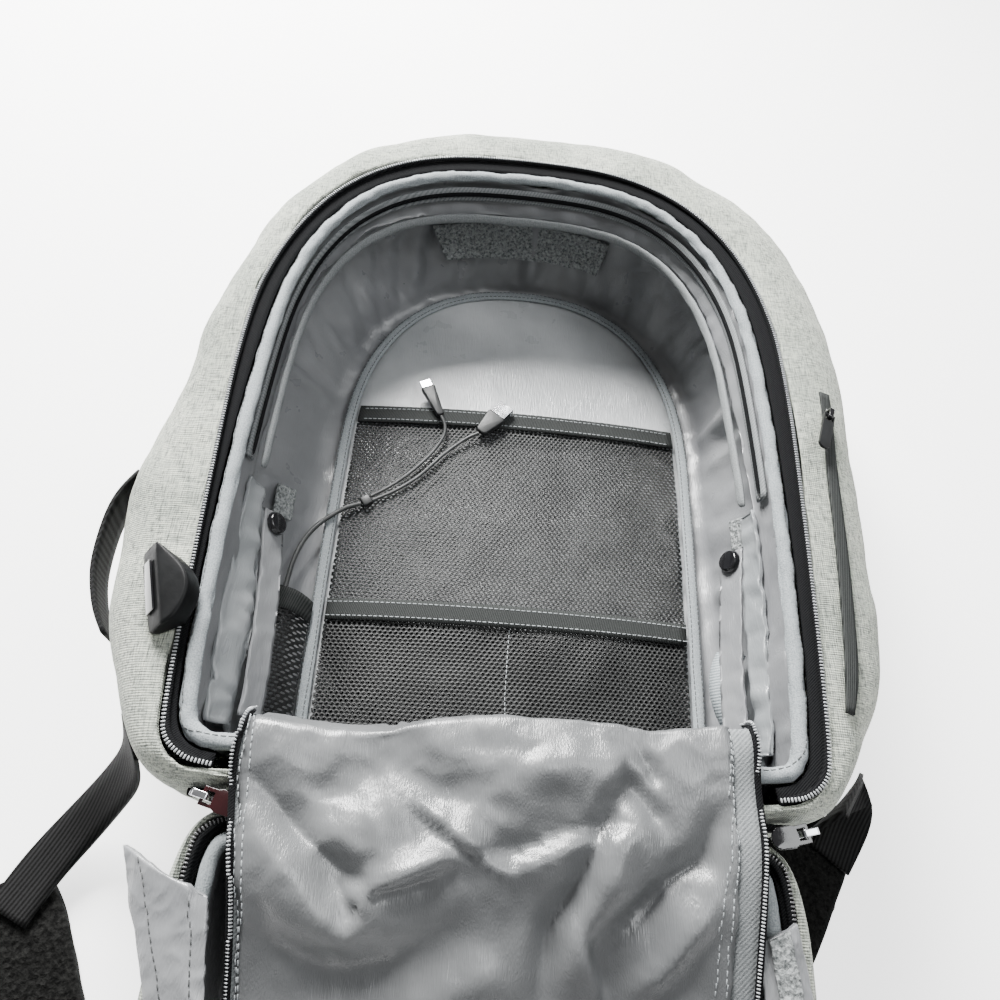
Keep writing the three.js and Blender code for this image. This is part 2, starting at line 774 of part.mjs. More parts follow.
// The left mesh pocket fills the corner between the wall's foot and the floor panel
const cornerPocketTop = 122;
const cornerPocket = (lift) => {
  const grid = [];
  const rows = 5;
  const columns = 6;
  for (let r = 0; r <= rows; r++) {
    const y = THREE.MathUtils.lerp(cornerPocketTop, sidePocketBottom, r / rows);
    const foot = panelShift - panelHalfWidth + bindingWidth * 0.4;
    const wallSide = onLining(sideIndex(y, -1), 3.75, liningWall + 1.4);
    const row = [];
    for (let c = 0; c <= columns; c++) {
      const share = c / columns;
      const bow = Math.sin(Math.PI * share) * 7;
      const x = THREE.MathUtils.lerp(wallSide.x, foot, share);
      const z = THREE.MathUtils.lerp(wallSide.z, panelTop + panelBindingHeight + 1.8, share);
      row.push(new THREE.Vector3(x + bow * 0.55 + lift * 0.5, y, z + bow + lift));
    }
    grid.push(row);
  }
  return grid;
};
const cornerFacing = new THREE.Vector3(0.5, 0, 1);
add("left_mesh_pocket", sheet(cornerPocket(0), meshWall, cornerFacing), "mesh");
{
  const [top, next] = cornerPocket(hemThickness + gap + 0.25);
  const low = top.map((point, c) => point.clone().lerp(next[c], hemHeight / point.distanceTo(next[c])));
  add("left_mesh_hem", sheet([top, low], hemThickness, cornerFacing), "hem");
}

// The ribbed elastic loop low on the right
{
  const points = [];
  const steps = 6;
  for (let i = 0; i <= steps; i++) {
    const share = i / steps;
    const lift = elasticLift * Math.sin(Math.PI * share) ** 0.7;
    const y = THREE.MathUtils.lerp(elasticStart + elasticLength, elasticStart, share);
    points.push(onLining(sideIndex(y, 1), 3.85, webbingWall + gap + 3.5 + lift));
  }
  const inward = new THREE.Vector3(-0.8, 0, 0.6).normalize();
  add("right_elastic_loop", band(points, elasticWidth, webbingWall - 0.6, () => inward), "elastic");
}

// Outside of the shell

// A point on the outside of the shell: index round the rim, row of the profile, then lift
function onShell(index, row, lift) {
  const at = (u, v) => {
    const i = Math.floor(u);
    const k = Math.min(Math.floor(v), shellRings.length - 2);
    const pick = (ring) => ring[i % rimCount].clone().lerp(ring[(i + 1) % rimCount], u - i);
    return pick(shellRings[k]).lerp(pick(shellRings[k + 1]), v - k);
  };
  const across = at(index + 0.5, row).sub(at(index - 0.5, row));
  const along = at(index, row + 0.5).sub(at(index, row - 0.5));
  const normal = along.cross(across).normalize();
  return { point: at(index, row).addScaledVector(normal, lift), normal };
}

// The hidden pocket's zip welt down the right side, with a slider at its top
const weltRow = (y) => THREE.MathUtils.mapLinear(y, weltBottom, weltTop, 0.75, 1.3);
{
  const steps = 12;
  const places = Array.from({ length: steps + 1 }, (_, i) => THREE.MathUtils.lerp(weltTop, weltBottom, i / steps));
  const spots = places.map((y) => onShell(sideIndex(y, 1), weltRow(y), webbingWall + 0.8));
  const points = places.map((y, i) =>
    spots[i].point.clone().add(new THREE.Vector3(0, Math.max(y - rimArchStart, 0), 0)),
  );
  const width = (share) => weltWidth * (share > 0.95 ? 0.6 : 1);
  add("side_zip_welt", band(points, width, webbingWall - 0.4, (i) => spots[i].normal), "hem");
}

// A slider: a body with a bridge over it, both cut from one profile. It points along +X and sits on z = 0.
function sliderGeometry(width, length) {
  const half = length / 2;
  const bridgeTop = sliderBody + bridgeGap + bridgeWall;
  const profile = new THREE.Shape();
  profile.moveTo(-half, 0);
  profile.lineTo(half, 0);
  profile.lineTo(half, sliderBody * 0.7);
  profile.lineTo(half * 0.7, sliderBody * 0.9);
  profile.lineTo(half * 0.62, bridgeTop - 0.6);
  profile.lineTo(half * 0.5, bridgeTop);
  profile.lineTo(-half * 0.5, bridgeTop);
  profile.lineTo(-half * 0.62, bridgeTop - 0.6);
  profile.lineTo(-half * 0.7, sliderBody * 0.9);
  profile.lineTo(-half, sliderBody * 0.7);
  const hole = new THREE.Path();
  const inner = half * 0.62 - bridgeWall;
  hole.moveTo(-inner, sliderBody);
  hole.lineTo(-inner, sliderBody + bridgeGap);
  hole.lineTo(inner, sliderBody + bridgeGap);
  hole.lineTo(inner, sliderBody);
  profile.holes.push(hole);
  const geometry = new THREE.ExtrudeGeometry(profile, { depth: width, bevelEnabled: false });
  geometry.rotateX(Math.PI / 2);
  geometry.translate(0, width / 2, 0);
  return geometry;
}

// A pull: a paddle with an eye whose bar goes through the slider's bridge. Its pivot is at the origin.
function pullGeometry(length, width, thickness) {
  const barHalf = bridgeWidth / 2 + 1;
  const neck = Math.min(width / 2, barHalf + 1.6);
  const outline = new THREE.Shape();
  outline.moveTo(-pullThickness / 2, -neck);
  outline.lineTo(5.5, -neck);
  outline.lineTo(7.5, -width / 2);
  outline.lineTo(length - width * 0.35, -width / 2);
  outline.absarc(length - width * 0.5, 0, width / 2, -Math.PI * 0.35, Math.PI * 0.35, false);
  outline.lineTo(7.5, width / 2);
  outline.lineTo(5.5, neck);
  outline.lineTo(-pullThickness / 2, neck);
  const eye = new THREE.Path();
  eye.moveTo(pullThickness / 2, -barHalf);
  eye.lineTo(pullThickness / 2, barHalf);
  eye.lineTo(4.6, barHalf);
  eye.lineTo(4.6, -barHalf);
  outline.holes.push(eye);
  const geometry = new THREE.ExtrudeGeometry(outline, { depth: thickness, bevelEnabled: false, curveSegments: 4 });
  geometry.translate(0, 0, -thickness / 2);
  return geometry;
}

// A slider with its pull, on a spot, turned about z and leaned by a quaternion
function addSlider(names, { place, turn, lean, pull, looks }) {
  const holder = new THREE.Group();
  holder.position.copy(place);
  holder.quaternion.copy(lean).multiply(new THREE.Quaternion().setFromAxisAngle(up, turn));
  bag.add(holder);
  add(names[0], sliderGeometry(bridgeWidth, sliderLength), looks[0], holder);
  const arm = new THREE.Group();
  arm.position.set(pull.seat, 0, sliderBody + bridgeGap / 2);
  arm.rotation.y = THREE.MathUtils.degToRad(pull.droop);
  holder.add(arm);
  add(names[1], pullGeometry(pull.length, pull.width, pullThickness), looks[1], arm);
  return holder;
}

const level = new THREE.Quaternion();
const barReach = pullThickness * Math.SQRT1_2;
const pivotSeat = sliderLength * 0.31 - bridgeWall - barReach - gap;
{
  const { point, normal } = onShell(sideIndex(sideSliderPlace, 1), sideSliderRow, webbingWall + gap + 0.6);
  const lean = new THREE.Quaternion().setFromUnitVectors(up, normal);
  addSlider(["side_zip_slider", "side_zip_pull"], {
    place: point,
    turn: -Math.PI / 2 - 0.35,
    lean,
    pull: { length: sidePullLength, width: 7, seat: pivotSeat, droop: -2 },
    looks: ["gloss", "plastic"],
  });
}
const mainSliderHeight = lidHingeHeight + 0.1;
const sliderInset = 2;
const rightSliderInset = 13;
const sliderBack = 7;
const rimBaseHalf = rimHalfWidth - rimTaper - rimCorner;
addSlider(["main_slider_left", "main_pull_left"], {
  place: new THREE.Vector3(-rimBaseHalf - sliderInset, -sliderBack, mainSliderHeight),
  turn: -0.25,
  lean: level,
  pull: { length: paddleLength, width: paddleWidth, seat: pivotSeat, droop: 4 },
  looks: ["metal", "red"],
});
addSlider(["main_slider_right", "main_pull_right"], {
  place: new THREE.Vector3(rimBaseHalf + rightSliderInset, -sliderBack, mainSliderHeight),
  turn: Math.PI + 0.25,
  lean: level,
  pull: { length: paddleLength, width: paddleWidth, seat: pivotSeat, droop: 4 },
  looks: ["metal", "gloss"],
});

// The charging port's housing on the left, a rounded fin from above whose outer face slopes down to the shell, with
// the port's cover on that face. Corners of the fin as shares of its length and width, from its outer edge inwards.
const portCorners = [
  { along: -0.5, across: 0 },
  { along: 0.5, across: 0 },
  { along: 0.46, across: 0.4 },
  { along: 0.29, across: 0.83 },
  { along: 0.1, across: 1 },
  { along: -0.1, across: 0.87 },
  { along: -0.33, across: 0.4 },
];
{
  const ringAt = (outer, spread, z) =>
    portCorners.map(({ along, across }) => {
      const y = across > 0 ? across * portWidth + spread : outer;
      return new THREE.Vector3(along * (portLength + spread * 2), y, z);
    });
  const body = loft([
    ringAt(-portSlope * 0.75, 0.4, 0),
    ringAt(-portSlope, 0.6, 3),
    ringAt(-portSlope * 0.1, 0.3, portHeight - 1.2),
    ringAt(1, -0.8, portHeight),
  ]);
  const holder = new THREE.Group();
  holder.position.set(-rimHalfWidth - 2.5, portPlace, shellDepth + coilHeight - 0.4);
  holder.rotation.set(portLean, 0, -1.25, "ZYX");
  bag.add(holder);
  add("usb_port_housing", body, "plastic", holder);
  const cover = new THREE.BoxGeometry(portLength * 0.6, 1.2, 8.5);
  const face = Math.atan2(portSlope * 0.9, portHeight - 4.2);
  cover.rotateX(-face);
  cover.translate(0, -portSlope * 0.55 - (0.6 + gap) * Math.cos(face), portHeight * 0.5 + 0.9 + 0.9 * Math.sin(face));
  add("usb_port_cover", cover, "gloss", holder);
}

// The carry handle on the left side, a webbing loop whose ends are sewn to the shell
{
  const steps = 8;
  const spots = Array.from({ length: steps + 1 }, (_, i) => {
    const share = i / steps;
    const lift = webbingWall + gap + 0.6 + handleLift * Math.sin(Math.PI * share) ** 0.6;
    return onShell(sideIndex(THREE.MathUtils.lerp(handleTop, handleTop - handleLength, share), -1), 3.8, lift);
  });
  add(
    "side_handle",
    band(spots.map(({ point }) => point), webbingWidth, webbingWall, (i) => spots[i].normal),
    "webbing",
  );
}

// Lid

const lid = new THREE.Group();
lid.position.set(0, -lidOffset, lidHingeHeight);
lid.rotation.set(THREE.MathUtils.degToRad(lidSlope), 0, 0);
bag.add(lid);

// In the lid's frame the outline is turned half round, so that it runs towards -Y
const lidSizes = {
  halfWidth: lidHalfWidth,
  length: lidLength,
  archStart: lidArchStart,
  power: rimArchPower,
  corner: lidCorner,
  taper: lidTaper,
};
const lidOutline = archOutline(lidSizes, plainSteps);
const lidCount = countOf(plainSteps);
const lidPoint = (i, out, z) => {
  const { x, y, nx, ny } = lidOutline[i % lidCount];
  return new THREE.Vector3(-(x + nx * out), -(y + ny * out), z);
};
const lidRing = (out, z) => lidOutline.map((_, i) => lidPoint(i, out, z));

// The lid's wall leans inwards at the hinge, clear of the shell, and bulges everywhere else
const lidWallRing = (out, down) =>
  lidOutline.map(({ station }, i) => {
    const hinge = THREE.MathUtils.clamp((Math.abs(station) - 1) * 10, 0, 1);
    return lidPoint(i, THREE.MathUtils.lerp(out, -down, hinge) * lidBulge, -down * lidDepth);
  });
const lidProfile = [
  { out: 0, down: 0 },
  { out: 0.8, down: 0.12 },
  { out: 1, down: 0.45 },
  { out: 0.7, down: 0.85 },
  { out: -0.2, down: 1 },
];
add(
  "lid_shell",
  bowl(lidProfile.map((row) => lidWallRing(row.out, row.down)), -clothWall),
  "heather",
  lid,
);
const lidStrip = (from, to, polygon) => {
  const sections = [];
  for (let i = from; i <= to; i++) sections.push(polygon.map(([out, z]) => lidPoint(i, out, z)));
  return loft(sections);
};
const lidTapeTop = -0.6;
const lidLip = clothWall + 0.8;
const lidTape = [
  [-gap - lidLip, lidTapeTop],
  [-gap - lidLip, lidTapeTop - tapeThickness],
  [-tapeWidth * 0.7, lidTapeTop - tapeThickness - 1],
  [-tapeWidth * 0.7, lidTapeTop - 1],
];
const lidCoil = coilBox(-gap - lidLip, lidTapeTop + gap, lidTapeTop + coilHeight);
add("lid_zip_tape", lidStrip(plainSteps.base, lidCount - plainSteps.base, lidTape), "tape", lid);
add("lid_zip_coil", lidStrip(plainSteps.base, lidCount - plainSteps.base, lidCoil), "coil", lid);
const lidBindingOut = -tapeWidth * 0.7 - gap;
add(
  "lid_binding",
  loft(
    lidOutline.map((_, i) =>
      roll(lidBindingOut - bindingWidth, lidBindingOut, lidTapeTop - 3.4, lidTapeTop + 2.4).map(([out, z]) =>
        lidPoint(i, out, z),
      ),
    ),
    true,
  ),
  "binding",
  lid,
);
const lidLiningRings = [
  { out: lidBindingOut - bindingWidth * 0.6, down: 4.6 },
  { out: lidBindingOut - bindingWidth * 0.9, down: 12 },
  { out: lidBindingOut - bindingWidth * 0.2, down: 24 },
  { out: lidBindingOut - bindingWidth, down: lidDepth - clothWall - liningWall - 2 },
].map((row) => lidRing(row.out, -row.down));
add("lid_lining", bowl(lidLiningRings, liningWall), "satin", lid);
add(
  "back_pad",
  loft([
    lidRing(-lidBulge * 1.6, -lidDepth - gap),
    lidRing(-lidBulge * 1.6, -lidDepth - gap - backPadThickness * 0.6),
    lidRing(-lidBulge * 2.1, -lidDepth - gap - backPadThickness),
  ]),
  "airMesh",
  lid,
);

// The closed stretch of the zip that joins the two halves across the base
add(
  "base_zip_band",
  loft(
    [-1, -0.5, 0.5, 1].map((share) =>
      [
        [-lidOffset + gap + baseBow, -7],
        [-lidOffset + gap + baseBow, -1],
        [-lidOffset / 2 - baseBow, 0],
        [-gap - shellBulge * 0.04 - baseBow, -2],
        [-gap - shellBulge * 0.04 - baseBow, -8],
      ].map(([y, z]) => new THREE.Vector3(share * (rimBaseHalf + 10), y, lidHingeHeight + z)),
    ),
  ),
  "tape",
);

// Divider flap: up the base wall, over the rim and down into the lid

// Its rows: y and height as shares of the reach and the crest, and its half width as a share. Below the crest on
// the shell's side the height counts from the surface, and past the hinge it counts down from the lid's rim. The
// slide is how much of the crest's shift the row takes.
const flapRows = [
  { y: 0.0405, high: 0.36, lid: 0, half: 0.86, slide: 0 },
  { y: 0.07, high: 0.42, lid: 0, half: 0.88, slide: 0 },
  { y: 0.086, high: 0.72, lid: 0, half: 0.99, slide: 0.3 },
  { y: 0.086, high: 0.9, lid: 0, half: 1.03, slide: 0.32 },
  { y: 0.078, high: 0.985, lid: 0, half: 1.04, slide: 0.5 },
  { y: 0.045, high: 1.006, lid: 0, half: 1.04, slide: 0.8 },
  { y: 0, high: 1, lid: 0, half: 1.03, slide: 0.9 },
  { y: -0.05, high: 0.975, lid: 0, half: 1.02, slide: 0.8 },
  { y: -0.1, high: 0.93, lid: 0, half: 1, slide: 0.55 },
  { y: -0.18, high: 0.83, lid: 0, half: 0.985, slide: 0.2 },
  { y: -0.3, high: 0, lid: 0.2, half: 0.97, slide: 0 },
  { y: -0.45, high: 0, lid: 0.5, half: 0.97, slide: 0 },
  { y: -0.6, high: 0, lid: 0.62, half: 0.93, slide: 0 },
  { y: -0.75, high: 0, lid: 0.66, half: 0.8, slide: 0 },
  { y: -0.88, high: 0, lid: 0.66, half: 0.6, slide: 0 },
  { y: -0.97, high: 0, lid: 0.66, half: 0.3, slide: 0 },
];
// The crest along its width, from left to right: its lift and its shift, as shares of the flap's half width
const crestShape = [
  { at: -1, lift: -0.02, shift: -0.12 },
  { at: -0.85, lift: -0.02, shift: -0.14 },
  { at: -0.7, lift: -0.045, shift: -0.21 },
  { at: -0.5, lift: -0.03, shift: -0.17 },
  { at: -0.35, lift: -0.01, shift: -0.09 },
  { at: -0.1, lift: 0, shift: 0.01 },
  { at: 0.35, lift: 0.006, shift: 0.06 },
  { at: 0.6, lift: 0, shift: 0.03 },
  { at: 0.7, lift: -0.03, shift: -0.04 },
  { at: 0.82, lift: 0, shift: 0.05 },
  { at: 1, lift: 0.01, shift: 0.07 },
];
// Creases from one point to another, as shares of the half width and the reach, with depths in half widths
const creases = [
  { x1: -1.02, y1: 0, x2: -0.55, y2: -0.14, width: 0.07, depth: -0.05 },
  { x1: -0.7, y1: -0.075, x2: -0.25, y2: -0.07, width: 0.06, depth: 0.035 },
  { x1: -0.5, y1: 0.045, x2: -0.1, y2: -0.01, width: 0.06, depth: -0.025 },
  { x1: 0.47, y1: 0.055, x2: 0.2, y2: -0.1, width: 0.055, depth: -0.045 },
  { x1: 0.5, y1: 0.04, x2: 0.62, y2: 0, width: 0.05, depth: -0.03 },
  { x1: 1.02, y1: -0.01, x2: 0.43, y2: -0.19, width: 0.08, depth: -0.06 },
  { x1: -0.3, y1: -0.2, x2: 0.1, y2: -0.3, width: 0.12, depth: 0.05 },
];
function creaseAt(x, y) {
  return creases.reduce((sum, { x1, y1, x2, y2, width, depth }) => {
    const share = THREE.MathUtils.clamp(
      ((x - x1) * (x2 - x1) + (y - y1) * (y2 - y1)) / ((x2 - x1) ** 2 + (y2 - y1) ** 2),
      0,
      1,
    );
    const away = Math.hypot(x - x1 - share * (x2 - x1), (y - y1 - share * (y2 - y1)) * 3.5);
    return sum + depth * Math.exp(-((away / width) ** 2));
  }, 0);
}
const flapColumns = 12;
const flapLiningDrop = lidDepth * 0.94;
const lidSlant = Math.tan(THREE.MathUtils.degToRad(lidSlope));
const flapGrid = flapRows.map((row) => {
  const points = [];
  for (let c = 0; c <= flapColumns; c++) {
    const share = (2 * c) / flapColumns - 1;
    const crest = Math.exp(-(((row.y - 0.05) / 0.09) ** 2));
    const slide = valueAt(crestShape, "at", "shift", share) * flapHalfWidth * row.slide;
    const lift = (valueAt(crestShape, "at", "lift", share) * crest + creaseAt(share, row.y)) * flapHalfWidth;
    const y = row.y * flapReach + slide;
    const rimZ = lidHingeHeight + (y + lidOffset) * lidSlant;
    const onRim = row.high * crestHeight;
    const z = row.high > 0 ? onRim : rimZ - row.lid * flapLiningDrop;
    const x = share * row.half * flapHalfWidth + flapShift * crest;
    points.push(new THREE.Vector3(x, y, z + lift * (row.high > 0 || row.lid < 0.6 ? 1 : 0.5)));
  }
  return points;
});
add("divider_flap", sheet(flapGrid, flapThickness, new THREE.Vector3(0, -0.2, 1)), "satin");

// The flap's zip runs down its left edge, round its far end and up its right edge
{
  const normals = gridNormals(flapGrid);
  const spot = (r, c, innerRow, innerColumn) => ({
    edge: flapGrid[r][c],
    inner: flapGrid[innerRow][innerColumn],
    normal: normals[r][c].z < 0 ? normals[r][c].clone().negate() : normals[r][c],
  });
  const rows = flapGrid.map((_, r) => r).slice(3);
  const end = flapGrid.length - 1;
  const left = rows.map((r) => spot(r, 0, r, 1));
  const far = flapGrid[end].map((_, c) => spot(end, c, end - 1, c)).slice(2, -2);
  const right = rows.reverse().map((r) => spot(r, flapColumns, r, flapColumns - 1));
  const path = [...left, ...far, ...right];
  const width = (i) => (i < left.length ? flapTapeWidth * 0.4 : flapTapeWidth);
  const strip = (near, wide, low, high) =>
    loft(
      path.map(({ edge, inner, normal }, i) => {
        const out = edge.clone().sub(inner).projectOnPlane(normal).normalize();
        const corner = (a, b) => edge.clone().addScaledVector(out, a).addScaledVector(normal, b);
        return [
          corner(near(i), low),
          corner(wide(i), low),
          corner(wide(i), high),
          corner(near(i), high),
        ];
      }),
    );
  const seam = gap + 0.4;
  add(
    "flap_zip_tape",
    strip(
      () => seam,
      (i) => seam + width(i),
      -flapThickness * 0.9,
      -flapThickness * 0.9 + tapeThickness,
    ),
    "greyTape",
  );
  const coilLow = -flapThickness * 0.9 + tapeThickness + gap * 4;
  add(
    "flap_zip_coil",
    strip(
      (i) => seam + width(i) - coilWidth * 0.9,
      (i) => seam + width(i),
      coilLow,
      coilLow + coilHeight * 0.7,
    ),
    "coil",
  );
}

// Satin wings over the lid's sides: inner and outer edges as shares of the lid's half width, down the wing's length
const wingRows = {
  left: [
    { down: 0, inner: 0.84, outer: 1.13 },
    { down: 0.5, inner: 0.79, outer: 0.96 },
    { down: 1, inner: 0.77, outer: 0.87 },
  ],
  right: [
    { down: 0, inner: 0.8, outer: 0.93 },
    { down: 0.3, inner: 0.83, outer: 0.97 },
    { down: 1, inner: 0.85, outer: 0.98 },
  ],
};
const wingLift = 3.9;
const wingSizes = {
  left: { start: 21, length: 110, skew: 17, sag: 0.4 },
  right: { start: 36, length: 110, skew: 9, sag: 0 },
};
function wingGrid(side) {
  const label = side < 0 ? "left" : "right";
  const table = wingRows[label];
  const { start, length, skew, sag } = wingSizes[label];
  return [0, 0.1, 0.28, 0.5, 0.75, 1].map((down) => {
    const [inner, outer] = ["inner", "outer"].map((edge) => valueAt(table, "down", edge, down) * lidHalfWidth);
    return [0, 0.25, 0.5, 0.75, 1].map((share) => {
      const y = start + down * length + skew * (1 - share) * (1 - down);
      const x = THREE.MathUtils.lerp(inner, outer, share);
      const beyond = Math.max(x - archHalfWidth(lidSizes, y) - 2, 0);
      const z = wingLift + 2 * Math.sin(Math.PI * share) - sag * beyond;
      return new THREE.Vector3(side * x, -y, z);
    });
  });
}
add("left_wing", sheet(wingGrid(-1), satinWall, up), "satin", lid);
{
  const grid = wingGrid(1);
  add("right_wing", sheet(grid, satinWall, up), "satin", lid);
  const lifted = (point) => point.clone().add(new THREE.Vector3(0, 0, patchThickness + gap + 0.4));
  const patch = grid.slice(0, 3).map((row) => row.slice(1, 4).map(lifted));
  add("wing_loop_patch", sheet(patch, patchThickness, up), "loop", lid);
}

// Straps

// Each strap lies under the lid from its top end and comes out at the side: points as places of its middle line
const strapRoutes = {
  left: [
    { x: -80, y: -392 },
    { x: -100, y: -330 },
    { x: -135, y: -262 },
    { x: -178, y: -195 },
    { x: -215, y: -135 },
    { x: -243, y: -82 },
    { x: -262, y: -44 },
  ],
  right: [
    { x: 80, y: -392 },
    { x: 86, y: -320 },
    { x: 94, y: -240 },
    { x: 109, y: -160 },
    { x: 135, y: -96 },
    { x: 163, y: -52 },
    { x: 191, y: -9 },
    { x: 208, y: 18 },
  ],
};
for (const [side, route] of Object.entries(strapRoutes)) {
  const curve = new THREE.CatmullRomCurve3(
    route.map(({ x, y }) => new THREE.Vector3(x, y, strapThickness)),
  );
  const points = curve.getPoints(14);
  const width = (share) => strapWidth * (share > 0.97 ? 0.72 : share > 0.9 ? 0.92 : 1);
  add(`${side}_shoulder_strap`, band(points, width, strapThickness), "airMesh");
}

// Webbing from the shell's lower corners to the ends of the straps, whose tops it lies on
const webbingRoutes = {
  left: [
    { x: -190, y: 13, z: 66 },
    { x: -204, y: 4, z: 42 },
    { x: -223, y: -12, z: 21 },
    { x: -241, y: -36, z: 14.5 },
    { x: -252, y: -60, z: 14 },
  ],
  right: [
    { x: 197, y: 20, z: 70 },
    { x: 214, y: 25, z: 44 },
    { x: 225, y: 23, z: 22 },
    { x: 222, y: 12, z: 14.5 },
    { x: 208, y: -8, z: 14 },
  ],
};
for (const [side, route] of Object.entries(webbingRoutes)) {
  const index = side === "left" ? rimCount - sideStart + 0.1 : rimSteps.base + rimSteps.corner * 0.6;
  const { point, normal } = onShell(index, 3.6, webbingWall + gap + 1.8);
  const curve = new THREE.CatmullRomCurve3([point, ...route.map(({ x, y, z }) => new THREE.Vector3(x, y, z))]);
  const points = curve.getPoints(11);
  const lean = (i, count) => normal.clone().lerp(up, Math.min((1.6 * i) / (count - 1), 1));
  add(`${side}_lower_webbing`, band(points, webbingWidth, webbingWall, lean), "webbing");
}

// Charging cable, loose on the mesh pocket

const cableWidth = 3.2;
const branchWidth = 2.5;
const cableRoutes = {
  cable_trunk: [
    [-135.2, 104, 42],
    [-134.4, 119, 42.5],
    [-134, 134, 42],
    [-132.6, 150, 40],
    [-128.5, 167, 36],
    [-120.5, 181, 32.4],
    [-108, 192.5, 31],
    [-97.6, 197.1, 31],
  ],
  cable_branch_usb: [
    [-89.3, 200.7, 31.4],
    [-75, 209.5, 31.8],
    [-60, 222, 32.8],
    [-44, 241, 34.2],
    [-29, 254, 37],
    [-20.2, 258.4, 39],
  ],
  cable_branch_micro: [
    [-91.3, 203.5, 31.4],
    [-78, 213.4, 31.8],
    [-64, 227, 32.8],
    [-53, 241, 34],
    [-46, 254, 35.6],
    [-45, 263, 37],
    [-48.6, 271.4, 37.9],
  ],
};
function cableTube(points, width, steps) {
  const outline = new THREE.Shape();
  for (let i = 0; i < 8; i++) {
    const turn = (i / 8) * Math.PI * 2;
    const corner = [(Math.cos(turn) * width) / 2, (Math.sin(turn) * width) / 2];
    if (i === 0) outline.moveTo(...corner);
    else outline.lineTo(...corner);
  }
  const path = new THREE.CatmullRomCurve3(points.map((point) => new THREE.Vector3(...point)));
  return new THREE.ExtrudeGeometry(outline, { steps, extrudePath: path, bevelEnabled: false });
}
add("cable_trunk", cableTube(cableRoutes.cable_trunk, cableWidth, 10), "cable");
add("cable_branch_usb", cableTube(cableRoutes.cable_branch_usb, branchWidth, 9), "cable");
add("cable_branch_micro", cableTube(cableRoutes.cable_branch_micro, branchWidth, 9), "cable");

// A piece on the cable, set at a point and turned to point along the cable there
function onCable(name, geometry, look, [x, y, z], turn) {
  geometry.rotateZ(turn);
  geometry.translate(x, y, z);
  add(name, geometry, look);
}
const collarTurn = Math.atan2(3.6, 4.8);
onCable("cable_collar", new THREE.BoxGeometry(7, 7.6, 4.2), "plastic", [-94.1, 199.6, 31.3], collarTurn);

// A plug along +X from its cable end: a rounded grip and a narrower metal shell, cut from one outline
function plugGeometry({ grip, gripWidth, tip, tipWidth, thickness }) {
  const outline = new THREE.Shape();
  const half = gripWidth / 2;
  outline.moveTo(0, -half * 0.35);
  outline.lineTo(half * 0.25, -half * 0.8);
  outline.lineTo(half * 0.8, -half);
  outline.lineTo(grip, -half);
  outline.lineTo(grip, -tipWidth / 2);
  outline.lineTo(grip + tip, -tipWidth / 2);
  outline.lineTo(grip + tip, tipWidth / 2);
  outline.lineTo(grip, tipWidth / 2);
  outline.lineTo(grip, half);
  outline.lineTo(half * 0.8, half);
  outline.lineTo(half * 0.25, half * 0.8);
  outline.lineTo(0, half * 0.35);
  const geometry = new THREE.ExtrudeGeometry(outline, { depth: thickness, bevelEnabled: false });
  geometry.translate(0, 0, -thickness / 2);
  return geometry;
}
onCable(
  "usb_plug",
  plugGeometry({ grip: 20, gripWidth: 15.6, tip: 11.5, tipWidth: 12, thickness: 5.6 }),
  "plastic",
  [-19.6, 258.9, 39.2],
  Math.atan2(24, 18),
);
onCable(
  "micro_plug",
  plugGeometry({ grip: 27, gripWidth: 10.6, tip: 6.5, tipWidth: 8, thickness: 5.4 }),
  "plastic",
  [-48.8, 271.8, 38],
  Math.atan2(31, -15.5),
);

// The origin is the middle of the base of the whole bag
const bounds = new THREE.Box3().setFromObject(bag, true);
const middle = bounds.getCenter(new THREE.Vector3());
bag.position.set(-middle.x, -middle.y, -bounds.min.z);
export default bag;
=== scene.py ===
import json
import math

import bmesh
import bpy
from mathutils import Matrix, Vector, noise
from mathutils.bvhtree import BVHTree

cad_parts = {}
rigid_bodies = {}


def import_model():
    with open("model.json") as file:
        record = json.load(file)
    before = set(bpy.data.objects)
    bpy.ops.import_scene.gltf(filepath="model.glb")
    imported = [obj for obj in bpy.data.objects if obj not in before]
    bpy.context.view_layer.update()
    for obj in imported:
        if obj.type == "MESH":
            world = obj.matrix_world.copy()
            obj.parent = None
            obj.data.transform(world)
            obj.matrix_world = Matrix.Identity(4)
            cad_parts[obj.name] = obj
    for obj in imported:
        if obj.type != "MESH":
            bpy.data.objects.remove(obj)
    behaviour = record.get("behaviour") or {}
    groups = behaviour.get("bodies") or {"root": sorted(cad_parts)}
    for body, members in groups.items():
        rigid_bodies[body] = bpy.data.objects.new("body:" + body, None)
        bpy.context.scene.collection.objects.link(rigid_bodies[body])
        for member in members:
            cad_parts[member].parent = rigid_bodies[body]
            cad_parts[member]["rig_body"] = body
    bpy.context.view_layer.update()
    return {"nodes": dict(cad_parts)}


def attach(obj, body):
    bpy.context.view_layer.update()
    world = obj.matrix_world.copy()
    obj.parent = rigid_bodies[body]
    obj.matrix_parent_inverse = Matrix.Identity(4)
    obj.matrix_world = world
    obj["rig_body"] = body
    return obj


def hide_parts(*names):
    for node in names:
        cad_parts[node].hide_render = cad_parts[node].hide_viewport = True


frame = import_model()
bag = "bag"
bagShift = Vector((0.021559, -0.030389, 0))  # from the rim's own frame to the part's
perMetre = 1000  # millimetres
up = Vector((0, 0, 1))
tray = Vector((0.0216, 0.19, 0.07))  # middle of the open shell


def place(x, y, z):  # a point of the rim's frame, given in millimetres
    return Vector((x, y, z)) / perMetre + bagShift


# Camera

view = {
    "place": (-27.08, -48.43, 491.66), "down": 60.69, "yaw": 5.62, "roll": 9.63,
    "lens": 27.04, "sensor": 36, "near": 0.01,
}


